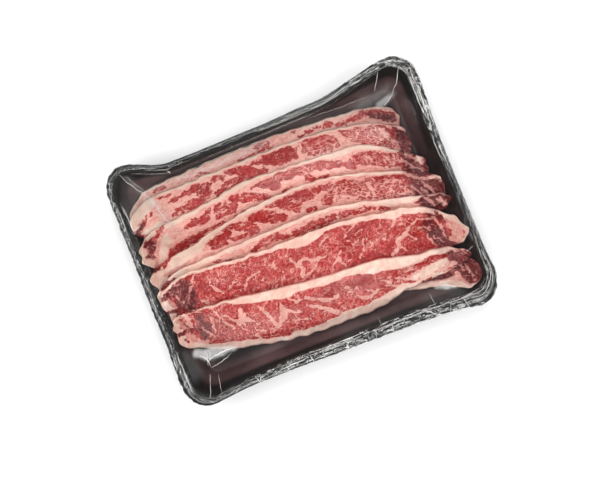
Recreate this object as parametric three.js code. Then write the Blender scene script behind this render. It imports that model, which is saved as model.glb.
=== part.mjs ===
// A supermarket pack of raw beef barbecue slices: a black foam tray, eight overlapping slices
// and the clear film stretched over the rim and sealed under the base.
// Millimetres, +Z up. X runs along the tray, +Y points at its back rim, and the origin is the
// centre of the underside.
import * as THREE from "three";

// Tray, measured over the rim
const TRAY_LENGTH = 235.4;
const TRAY_WIDTH = 182;
const CORNER_RADIUS = 16;
const SMALLEST_RADIUS = 6;
const RIM_WIDTH = 4.6;
const RIM_DEPTH = 3;
const RIM_TOP = 24;
const WALL_RUN = 10;
const KNEE_INSET = 10;
const KNEE_HEIGHT = 13.2;
const KNEE_WALL = 2.5;
const FOAM = 2.9;
const FOOT_WIDTH = 9;
const UNDER_RECESS = 1.3;

// How far the film pulls the long rims inwards, and the back one down, between the corners
const BACK_BOW = 9.5;
const FRONT_BOW = 2;
const BACK_SAG = 1.6;

// Film, thicker than the real 0.015 mm so that it is a solid, with the clearances round it. Its
// edges meet in a seam under the base, where a small part of the base's outline stays open.
const FILM = 0.4;
const GAP = 0.4;
const FILM_SLACK = 1;
const SEAM_SCALE = 0.1;

// Meat. The ends of a slice are rounded in plan over END_ROUND and thin out over END_RUN.
const SLICE_GAP = 0.35;
const END_ROUND = 6;
const END_RUN = 26;
const END_THIN = 0.32;
const EDGE_TOP = 0.55;
const EDGE_LIFT = 0.15;
const SWELL = 0.06;
const SWELL_LENGTH = 56;
const DRAPE = 2;

// Heights and insets that follow from these
const FOOT = FILM + GAP;
const FLOOR = FOOT + UNDER_RECESS + FOAM;
const WALL_FOOT = RIM_WIDTH + WALL_RUN;
const FILM_TOP = RIM_TOP + GAP + FILM;

// The slices in the order they were laid, back to front. back and front are points (x, y) on
// the two long edges, left to right, and thick is the slice's thickness.
const SLICES = [
  {
    thick: 5.1,
    back: [
      [-110, 53], [-104, 63], [-97, 69], [-67, 71], [-7, 72],
      [45, 68], [68, 66], [85, 62.5], [97, 56],
    ],
    front: [[-110, 42], [-100, 37], [-60, 34], [0, 34], [50, 31], [97, 44]],
  },
  {
    thick: 5.2,
    back: [
      [-111, 49], [-105, 58], [-98, 64.5], [-57, 64.5], [-10, 64.2],
      [40, 62], [70, 56], [88, 49], [99, 41],
    ],
    front: [[-111, 42], [-104, 37], [-80, 26], [0, 22], [50, 20], [86, 18], [99, 31]],
  },
  {
    thick: 5.4,
    back: [
      [-111, 32], [-103, 40], [-85, 43], [-57, 45], [-27, 49.5],
      [3, 48], [35, 45.5], [62, 43], [83, 32], [103, 17],
    ],
    front: [[-111, 17], [-100, 12], [-60, 4], [0, 4], [50, 0], [90, -4], [103, 4]],
  },
  {
    thick: 5.4,
    back: [
      [-111, 14], [-103, 19], [-90, 22], [-62, 26], [-32, 31],
      [10, 31.5], [40, 28], [68, 20], [93, 10], [109, -1],
    ],
    front: [[-111, 3], [-102, -8], [-60, -14], [0, -14], [50, -18], [95, -20], [109, -9]],
  },
  {
    thick: 5.1,
    back: [
      [-111, -1], [-103, 4], [-93, 8], [-57, 9], [-17, 10],
      [22, 10], [42, 6], [82, -5], [108, -12],
    ],
    front: [[-111, -8], [-100, -22], [-60, -28], [0, -32], [50, -34], [108, -22]],
  },
  {
    thick: 5.1,
    back: [[-84, -28], [-40, -36], [10, -36], [60, -38], [109, -64]],
    front: [[-84, -46], [-60, -57], [-5, -66], [42, -67], [74, -73], [90, -79], [100, -83], [109, -76]],
  },
  {
    thick: 5.5,
    back: [
      [-111, -7], [-102, 1], [-90, 4], [-68, 2], [-37, -1],
      [2, -2], [30, -3], [58, -8], [86, -14], [110, -33],
    ],
    front: [[-111, -20], [-100, -32], [-60, -40], [0, -46], [50, -50], [110, -51]],
  },
  {
    thick: 5.4,
    back: [
      [-110, -22], [-82, -24], [-47, -28], [-8, -34],
      [42, -38], [68, -44.5], [92, -48], [108, -58],
    ],
    front: [
      [-110, -47], [-90, -57], [-62, -65], [-32, -71], [10, -73],
      [36, -72], [56, -67.5], [90, -66], [108, -62],
    ],
  },
];

// Steps of the meshes. The splits are shares of a straight run, closest where the rim bends.
const CORNER_STEPS = 6;
const LONG_SPLITS = [0.06, 0.11, 0.155, 0.24, 0.42, 0.6, 0.71, 0.79, 0.87, 0.94];
const SHORT_SPLITS = [0.17, 0.34, 0.5, 0.66, 0.83];
const COVER_SCALES = [0.16, 0.35, 0.52, 0.68, 0.81, 0.91, 0.97];
const STATIONS = 28;
const ACROSS = [0, 0.06, 0.2, 0.35, 0.5, 0.65, 0.8, 0.94, 1];
const MAP_STEP = 1;
const LIFT_REACH = 4;
const COVER_REACH = 6;
const LIFT_ROUNDS = 5;
const STRETCH_ROUNDS = 900;
const NOTHING = 1000;

const smooth = THREE.MathUtils.smoothstep;
const mix = THREE.MathUtils.lerp;

// Surface helpers

// A closed surface through rings of equally many points, with a fan to the centre of the
// first and the last ring, and its faces pointing out
function loft(rings) {
  const count = rings[0].length;
  const points = rings.flat();
  const middle = (ring) =>
    ring.reduce((sum, p) => sum.add(p), new THREE.Vector3()).divideScalar(count);
  const first = points.push(middle(rings[0])) - 1;
  const last = points.push(middle(rings[rings.length - 1])) - 1;
  const faces = [];
  for (let i = 0; i < count; i++) {
    const next = (i + 1) % count;
    faces.push(first, next, i);
    for (let r = 0; r + 1 < rings.length; r++) {
      const a = r * count;
      const b = a + count;
      faces.push(a + i, a + next, b + next, a + i, b + next, b + i);
    }
    const end = (rings.length - 1) * count;
    faces.push(last, end + i, end + next);
  }
  if (signedVolume(points, faces) < 0) faces.reverse();
  const geometry = new THREE.BufferGeometry().setFromPoints(points);
  geometry.setIndex(faces);
  geometry.computeVertexNormals();
  return geometry;
}

function signedVolume(points, faces) {
  let six = 0;
  for (let i = 0; i < faces.length; i += 3) {
    const [a, b, c] = [points[faces[i]], points[faces[i + 1]], points[faces[i + 2]]];
    six += a.dot(new THREE.Vector3().crossVectors(b, c));
  }
  return six / 6;
}

// A map of heights over the tray, on a square grid, for laying soft things on each other
class HeightMap {
  constructor(fill) {
    this.columns = Math.ceil(TRAY_LENGTH / MAP_STEP) + 3;
    this.rows = Math.ceil(TRAY_WIDTH / MAP_STEP) + 3;
    this.left = -((this.columns - 1) / 2) * MAP_STEP;
    this.low = -((this.rows - 1) / 2) * MAP_STEP;
    this.z = new Float64Array(this.columns * this.rows).fill(fill);
  }

  copy(change = (z) => z) {
    const made = new HeightMap(0);
    made.z = this.z.map(change);
    return made;
  }

  at(x, y) {
    const u = THREE.MathUtils.clamp((x - this.left) / MAP_STEP, 0, this.columns - 1.001);
    const v = THREE.MathUtils.clamp((y - this.low) / MAP_STEP, 0, this.rows - 1.001);
    const [i, j] = [Math.floor(u), Math.floor(v)];
    const k = j * this.columns + i;
    const under = mix(this.z[k], this.z[k + 1], u - i);
    const over = mix(this.z[k + this.columns], this.z[k + this.columns + 1], u - i);
    return mix(under, over, v - j);
  }

  // Raises the map to the highest face of a geometry above each grid point. With a sign of -1
  // it holds the lowest face instead, as its negative.
  raise(geometry, sign = 1) {
    const place = geometry.getAttribute("position");
    const index = geometry.getIndex();
    const triangle = new THREE.Triangle();
    for (let f = 0; f < index.count; f += 3) {
      triangle.setFromAttributeAndIndices(place, index.getX(f), index.getX(f + 1), index.getX(f + 2));
      this.raiseTriangle(triangle, sign);
    }
    return this;
  }

  raiseTriangle({ a, b, c }, sign) {
    const area = (b.x - a.x) * (c.y - a.y) - (c.x - a.x) * (b.y - a.y);
    if (Math.abs(area) < 1e-9) return;
    const column = (x) => (x - this.left) / MAP_STEP;
    const row = (y) => (y - this.low) / MAP_STEP;
    for (let j = Math.ceil(row(Math.min(a.y, b.y, c.y))); j <= row(Math.max(a.y, b.y, c.y)); j++)
      for (let i = Math.ceil(column(Math.min(a.x, b.x, c.x))); i <= column(Math.max(a.x, b.x, c.x)); i++) {
        const x = this.left + i * MAP_STEP;
        const y = this.low + j * MAP_STEP;
        const s = ((x - a.x) * (c.y - a.y) - (c.x - a.x) * (y - a.y)) / area;
        const t = ((b.x - a.x) * (y - a.y) - (x - a.x) * (b.y - a.y)) / area;
        if (s < 0 || t < 0 || s + t > 1) continue;
        const k = j * this.columns + i;
        this.z[k] = Math.max(this.z[k], sign * (a.z + s * (b.z - a.z) + t * (c.z - a.z)));
      }
  }

  // Each point takes what combine makes of its neighbours within reach, first along X, then Y
  spread(reach, combine) {
    const cells = Math.round(reach / MAP_STEP);
    let from = this.z;
    for (const [step, length] of [[1, this.columns], [this.columns, this.rows]]) {
      const to = new Float64Array(from.length);
      for (let k = 0; k < from.length; k++) {
        const place = step === 1 ? k % this.columns : Math.floor(k / this.columns);
        const near = [];
        for (let d = -cells; d <= cells; d++)
          if (place + d >= 0 && place + d < length) near.push(from[k + d * step]);
        to[k] = combine(near);
      }
      from = to;
    }
    const made = new HeightMap(0);
    made.z = from;
    return made;
  }

  dilated(reach) {
    return this.spread(reach, (near) => Math.max(...near));
  }

  blurred(reach) {
    return this.spread(reach, (near) => near.reduce((a, b) => a + b) / near.length);
  }

  // The taut sheet that rests on this map: even where it is free, never below the map
  stretched() {
    const sheet = this.copy();
    const { z, columns } = sheet;
    for (let n = 0; n < STRETCH_ROUNDS; n++)
      for (let k = columns; k < z.length - columns; k++)
        z[k] = Math.max(this.z[k], (z[k - 1] + z[k + 1] + z[k - columns] + z[k + columns]) / 4);
    return sheet;
  }
}

// Tray

// How far the film has pulled a long rim, from 0 at the corners to 1 along its middle
function pull(x) {
  return smooth(x, -104, -69) * (1 - smooth(x, 42, 104));
}

// Share of the bow that a ring at this height on the wall takes
function bowAt(z) {
  return smooth(z, FLOOR, RIM_TOP - 2);
}

// One rounded rectangle of points, inset from the rim's outline. bow is the share of the rims'
// bow that this ring takes, scale shrinks it to the centre, and z is a height or a function.
function ring({ inset, z, bow = 0, scale = 1 }) {
  const halfLength = TRAY_LENGTH / 2 - inset;
  const halfWidth = TRAY_WIDTH / 2 - inset;
  const radius = Math.max(CORNER_RADIUS - 0.45 * inset, SMALLEST_RADIUS);
  const corners = [
    [1, -1, -Math.PI / 2, SHORT_SPLITS],
    [1, 1, 0, LONG_SPLITS.map((part) => 1 - part).reverse()],
    [-1, 1, Math.PI / 2, SHORT_SPLITS],
    [-1, -1, Math.PI, LONG_SPLITS],
  ];
  const arcs = corners.map(([sx, sy, start]) =>
    Array.from({ length: CORNER_STEPS + 1 }, (_, i) => {
      const angle = start + (i / CORNER_STEPS) * (Math.PI / 2);
      return new THREE.Vector3(
        sx * (halfLength - radius) + radius * Math.cos(angle),
        sy * (halfWidth - radius) + radius * Math.sin(angle),
      );
    }),
  );
  const flat = arcs.flatMap((arc, i) => {
    const from = arc[CORNER_STEPS];
    const to = arcs[(i + 1) % 4][0];
    const run = corners[i][3].map((part) => from.clone().lerp(to, part));
    return [...arc, ...run];
  });
  return flat.map((p) => {
    const pulled = bow * pull(p.x) * (p.y / halfWidth);
    const moved = new THREE.Vector3(p.x, p.y - pulled * (p.y > 0 ? BACK_BOW : FRONT_BOW));
    moved.multiplyScalar(scale);
    moved.z = typeof z === "function" ? z(moved.x, moved.y) : z - Math.max(pulled, 0) * BACK_SAG;
    return moved;
  });
}

// The tray's wall in section as (inset, z), from the middle of the underside, out over the rim
// and back to the middle of the floor. Below the knee the wall slopes less.
function trayRings() {
  const under = RIM_TOP - RIM_DEPTH;
  const foot = WALL_FOOT + FOOT_WIDTH;
  const profile = [
    [foot + 2, FOOT + UNDER_RECESS],
    [foot, FOOT],
    [WALL_FOOT + 2.4, FOOT],
    [WALL_FOOT + 0.4, FOOT + 2],
    [KNEE_INSET - KNEE_WALL, KNEE_HEIGHT - KNEE_WALL / 2],
    [RIM_WIDTH - 0.4, under],
    [0.6, under],
    [0, under + 0.6],
    [0, RIM_TOP - 1],
    [0.5, RIM_TOP - 0.25],
    [1.4, RIM_TOP],
    [RIM_WIDTH - 1.2, RIM_TOP],
    [RIM_WIDTH, RIM_TOP - 0.5],
    [RIM_WIDTH + 1.6, RIM_TOP - 2.2],
    [KNEE_INSET, KNEE_HEIGHT],
    [WALL_FOOT + 1, FLOOR + 3],
    [WALL_FOOT + 2.8, FLOOR + 0.8],
    [WALL_FOOT + 5.5, FLOOR],
  ];
  return profile.map(([inset, z]) => ring({ inset, z, bow: bowAt(z) }));
}

// Film

// Rings from the middle of the top, over the rim, down the wall and under the base to the seam,
// then back along the inner face
function filmRings(sheet) {
  const base = WALL_FOOT + 1.2;
  const out = -GAP - FILM;
  const profile = [
    [RIM_WIDTH - 0.4, FILM_TOP],
    [0.6, FILM_TOP],
    [out + 0.2, RIM_TOP + 0.1],
    [out, RIM_TOP - 1.2],
    [out, RIM_TOP - RIM_DEPTH],
    [mix(out, base, 0.5), mix(RIM_TOP - RIM_DEPTH, 0, 0.5)],
    [base, 0],
  ];
  const cover = (lower) =>
    COVER_SCALES.map((scale) =>
      ring({ inset: RIM_WIDTH + 1, scale, bow: 1, z: (x, y) => sheet.at(x, y) - lower }),
    );
  const skirt = (line) => line.map(([inset, z]) => ring({ inset, z, bow: bowAt(z) }));
  const seam = (z) => ring({ inset: base, scale: SEAM_SCALE, z });
  const outside = [...cover(0), ...skirt(profile), seam(0)];
  const inside = [...cover(FILM), ...skirt(thickened(profile)), seam(FILM)];
  return [...outside, ...inside.reverse()];
}

// The inner line of the film's profile, one thickness inside it all the way down
function thickened(profile) {
  const last = profile.length - 1;
  return profile.map(([inset, z], i) => {
    if (i === 0) return [inset, z - FILM];
    if (i === last) return [inset + FILM, z + FILM];
    const [before, after] = [profile[i - 1], profile[i + 1]];
    const along = new THREE.Vector2(after[0] - before[0], after[1] - before[1]).normalize();
    return [inset - along.y * FILM, z + along.x * FILM];
  });
}

// The sheet that spans the rim and rests on the highest parts of the meat
function filmSheet(pile, floor) {
  const overMeat = pile.dilated(COVER_REACH).copy((z) => z + FILM + FILM_SLACK);
  const overRim = (z) => z > RIM_TOP - RIM_DEPTH || z === 0;
  return overMeat.copy((z, k) => (overRim(floor.z[k]) ? FILM_TOP : z)).stretched();
}

// Meat

// A curve through the points of one long edge, as y at any x
function edge(points) {
  const curve = new THREE.SplineCurve(points.map(([x, y]) => new THREE.Vector2(x, y)));
  const line = curve.getPoints(points.length * 12);
  return (x) => {
    const i = Math.max(1, line.findIndex((p) => p.x >= x));
    const [a, b] = [line[i - 1], line[i]];
    return mix(a.y, b.y, THREE.MathUtils.clamp((x - a.x) / (b.x - a.x), 0, 1));
  };
}

// One slice as a loft of upright sections across it, lying on the map of what is under it
function sliceRings({ thick, back, front }, rest) {
  const [left, right] = [back[0][0], back[back.length - 1][0]];
  const [farEdge, nearEdge] = [edge(back), edge(front)];
  const places = Array.from({ length: STATIONS + 1 }, (_, i) => {
    const even = i / STATIONS;
    return mix(left, right, mix(even, 0.5 - 0.5 * Math.cos(Math.PI * even), 0.45));
  });
  return places.map((x) => {
    const fromEnd = Math.min(x - left, right - x);
    const share = Math.min((fromEnd + 0.8) / END_ROUND, 1);
    const middle = (farEdge(x) + nearEdge(x)) / 2;
    const half = ((farEdge(x) - nearEdge(x)) / 2) * Math.sqrt(1 - (1 - share) ** 2);
    const swell = 1 + SWELL * Math.sin((2 * Math.PI * (x + middle)) / SWELL_LENGTH);
    const body = thick * swell * mix(END_THIN, 1, smooth(fromEnd, 0, END_RUN));
    const point = (v, height) => {
      const y = middle + half * (1 - 2 * v);
      return new THREE.Vector3(x, y, rest.at(x, y) + SLICE_GAP + height);
    };
    const atEdge = (v) => v === 0 || v === 1;
    const over = ACROSS.map((v) => point(v, body * (atEdge(v) ? EDGE_TOP : 1)));
    const beneath = ACROSS.map((v) => point(v, body * (atEdge(v) ? EDGE_LIFT : 0)));
    return [...over, ...beneath.reverse()];
  });
}

// Lays a slice on the pile, lifting it wherever its flat faces would cut into what is under it
function lay(slice, pile, floor) {
  const soft = pile.dilated(DRAPE).blurred(DRAPE);
  const hard = floor.copy((z, k) => Math.max(z, pile.z[k]));
  let rest = hard.copy((z, k) => Math.max(z, soft.z[k]));
  for (let n = 0; n < LIFT_ROUNDS; n++) {
    const underside = new HeightMap(-NOTHING).raise(loft(sliceRings(slice, rest)), -1);
    const short = hard.copy((z, k) => Math.max(0, z + SLICE_GAP + underside.z[k]));
    const lift = short.dilated(LIFT_REACH);
    rest = rest.copy((z, k) => z + lift.z[k]);
  }
  return loft(sliceRings(slice, rest));
}

// The pack

function named(name, geometry, material) {
  const mesh = new THREE.Mesh(geometry, material);
  mesh.name = name;
  return mesh;
}

const foam = new THREE.MeshStandardMaterial({ color: 0x1b1c1e, roughness: 0.45, metalness: 0 });
const beef = new THREE.MeshStandardMaterial({ color: 0xb5443f, roughness: 0.35, metalness: 0 });
const cling = new THREE.MeshStandardMaterial({ color: 0xf2f4f4, roughness: 0.08, metalness: 0 });
cling.transparent = true;
cling.opacity = 0.2;

const pack = new THREE.Group();
const tray = loft(trayRings());
pack.add(named("tray", tray, foam));

const floor = new HeightMap(0).raise(tray);
const pile = new HeightMap(FLOOR);
SLICES.forEach((slice, i) => {
  const geometry = lay(slice, pile, floor);
  pile.raise(geometry);
  pack.add(named(`slice_${i + 1}`, geometry, beef));
});

const sheet = filmSheet(pile, floor);
pack.add(named("film", loft(filmRings(sheet)), cling));

export default pack;
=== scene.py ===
# A supermarket pack of raw beef barbecue slices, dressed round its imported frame: fine meat laid
# slice on slice, the black foam tray and the stretch film over it.
import math

import bpy
import numpy as np
from mathutils import Matrix, Vector
from mathutils.bvhtree import BVHTree


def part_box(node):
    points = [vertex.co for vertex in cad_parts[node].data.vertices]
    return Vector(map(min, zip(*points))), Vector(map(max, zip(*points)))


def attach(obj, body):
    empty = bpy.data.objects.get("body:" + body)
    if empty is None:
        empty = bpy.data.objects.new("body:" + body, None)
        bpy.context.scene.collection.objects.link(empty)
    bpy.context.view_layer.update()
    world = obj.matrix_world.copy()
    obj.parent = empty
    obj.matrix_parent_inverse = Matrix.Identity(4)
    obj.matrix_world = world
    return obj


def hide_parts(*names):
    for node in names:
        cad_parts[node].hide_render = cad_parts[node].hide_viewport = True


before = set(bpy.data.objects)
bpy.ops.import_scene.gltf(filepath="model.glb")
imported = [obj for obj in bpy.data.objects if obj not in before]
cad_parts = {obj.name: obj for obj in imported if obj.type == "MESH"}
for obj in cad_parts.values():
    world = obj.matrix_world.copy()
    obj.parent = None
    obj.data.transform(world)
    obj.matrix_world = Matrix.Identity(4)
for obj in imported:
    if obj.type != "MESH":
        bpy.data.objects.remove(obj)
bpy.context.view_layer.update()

# Millimetres, as the sizes below are; the scene itself is in metres
MM = 0.001

# Tray, measured over the rim, as the frame's tray is
TRAY_LOW, TRAY_HIGH = (np.array(corner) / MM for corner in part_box("tray"))
TRAY_LENGTH = TRAY_HIGH[0] - TRAY_LOW[0]
TRAY_WIDTH = 182.0
RIM_TOP = TRAY_HIGH[2]
FOOT = TRAY_LOW[2]
CORNER_RADIUS = 16.0
SMALLEST_RADIUS = 6.0
RIM_WIDTH = 4.6
RIM_DEPTH = 3.0
WALL_FOOT = 14.6
KNEE_INSET = 10.0
KNEE_HEIGHT = 13.2
KNEE_WALL = 2.5
FOOT_WIDTH = 9.0
UNDER_RECESS = 1.3
UNDER_REACH = 16
FLOOR = 5.0
BACK_BOW = 9.5
FRONT_BOW = 2.0
BACK_SAG = 1.6
BOW_START = (-104, -69)
BOW_END = (42, 104)

# Ring steps: along a corner's arc, a long side and a short side
CORNER_STEPS = 20
LONG_STEPS = 180
SHORT_STEPS = 136

# Film
FILM_OUT = 0.6
FILM_TOP = RIM_TOP + 0.8
FILM_CLEAR = 0.9
FILM_REACH = 4
FILM_RINGS = 58
LIP_STEP = 0.45
WALL_STEP = 2.2
FILM_BASE = WALL_FOOT + 1.2
BASE_HEIGHT = 0.12
BASE_SCALES = (0.9, 0.7, 0.45, 0.2, 0.03)
FILM_SETTLING = 900
RIM_CREASES = 230
CROSS_CREASES = 70
CREASE_LIFT = 0.08
CREASE_LIMIT = 10
PLEAT_SIDES = 4

# Meat: the sizes of a slice, then how far its marbling spreads, is drawn out and varies
SLICE_GAP = 0.3
EDGE_ROUND = 1.6
END_ROUND = 5.0
END_RUN = 26.0
END_THIN = 0.34
STATION_STEP = 0.75
ROW_STEP = 0.62
UNDER_ROWS = 14
LEAN_SPREAD = 0.5
STREAK = 0.4
FIBRE_TURN = math.radians(52)
END_PUSH = 2.5
TONE = 0.34
VEIN_TRIM = 0.1
VEIN_VARY = 0.3
LEAN_CRISP = 1.9
PATTERN_SHIFT = 300
DEPTH_LIMIT = 6.0
PILE_SETTLING = 40
PILE_BLUR = 6

# Colours, as screen values from 0 to 255
LEAN_DEEP = (150, 18, 21)
LEAN = (188, 50, 48)
LEAN_PALE = (222, 112, 105)
LEAN_BORDER = (150, 22, 26)
BURGUNDY_DEEP = (80, 8, 15)
BURGUNDY = (126, 32, 37)
VIVID_DEEP = (150, 12, 13)
VIVID = (202, 52, 44)
VEIN = (243, 178, 166)
VEIN_DARK = (186, 112, 110)
FAT_PINK = (226, 150, 138)
FAT_LIGHT = (243, 196, 182)
RIND_LIGHT = (250, 224, 208)
RIND_PINK = (240, 199, 183)
RIND_GREY = (222, 201, 183)
FAT_THREAD = (206, 104, 98)
FAT_DARK = (186, 122, 120)
# Painted shade along the long edges of the slices, where one lies against the next
PAINTED_EDGE_SHADE = (128, 68, 60)
PAINTED_EDGE_SHADE_DARK = (74, 22, 26)
FOAM_DEEP = (10, 10, 12)
FOAM = (20, 20, 22)
# Painted reflection of the meat and light on the tray's inner slope
PAINTED_REFLECTION_DEEP = (78, 58, 60)
PAINTED_REFLECTION = (102, 80, 81)
FILM_LIGHT = (247, 246, 244)
# Painted shade on the film's lip over the rim's outer edge
FILM_PAINTED_SHADE = (24, 25, 27)
FLOOR_LIGHT = (252, 252, 252)
FLOOR_SHADE = (247, 247, 247)

# Studio: each lamp's azimuth and elevation in degrees, its size in metres and its power
LAMPS = {
    "back_light": (20, 50, 0.9, 9.6),
    "left_light": (-80, 48, 0.8, 6.6),
    "right_light": (110, 45, 0.8, 6.0),
    "front_light": (190, 50, 0.9, 7.0),
}
LAMP_DISTANCE = 1.3
WORLD_STRENGTH = 0.35
STUDIO_REACH = 3.0

# Camera: azimuth, elevation and roll in degrees, then what it looks at and from how far
CAMERA_ANGLES = (106, 86, -127.99)
CAMERA_TARGET = (-2.59, -5.10, 12)
CAMERA_DISTANCE = 908.57
LENS = 75
SENSOR = 36

# The marks on the meat are measured from the back left corner of the pack, in millimetres to
# the right and to the front. A stroke is its widths, spread evenly along it, and its points.
MARK_LEFT = -117.5
MARK_BACK = 92.0

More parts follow.
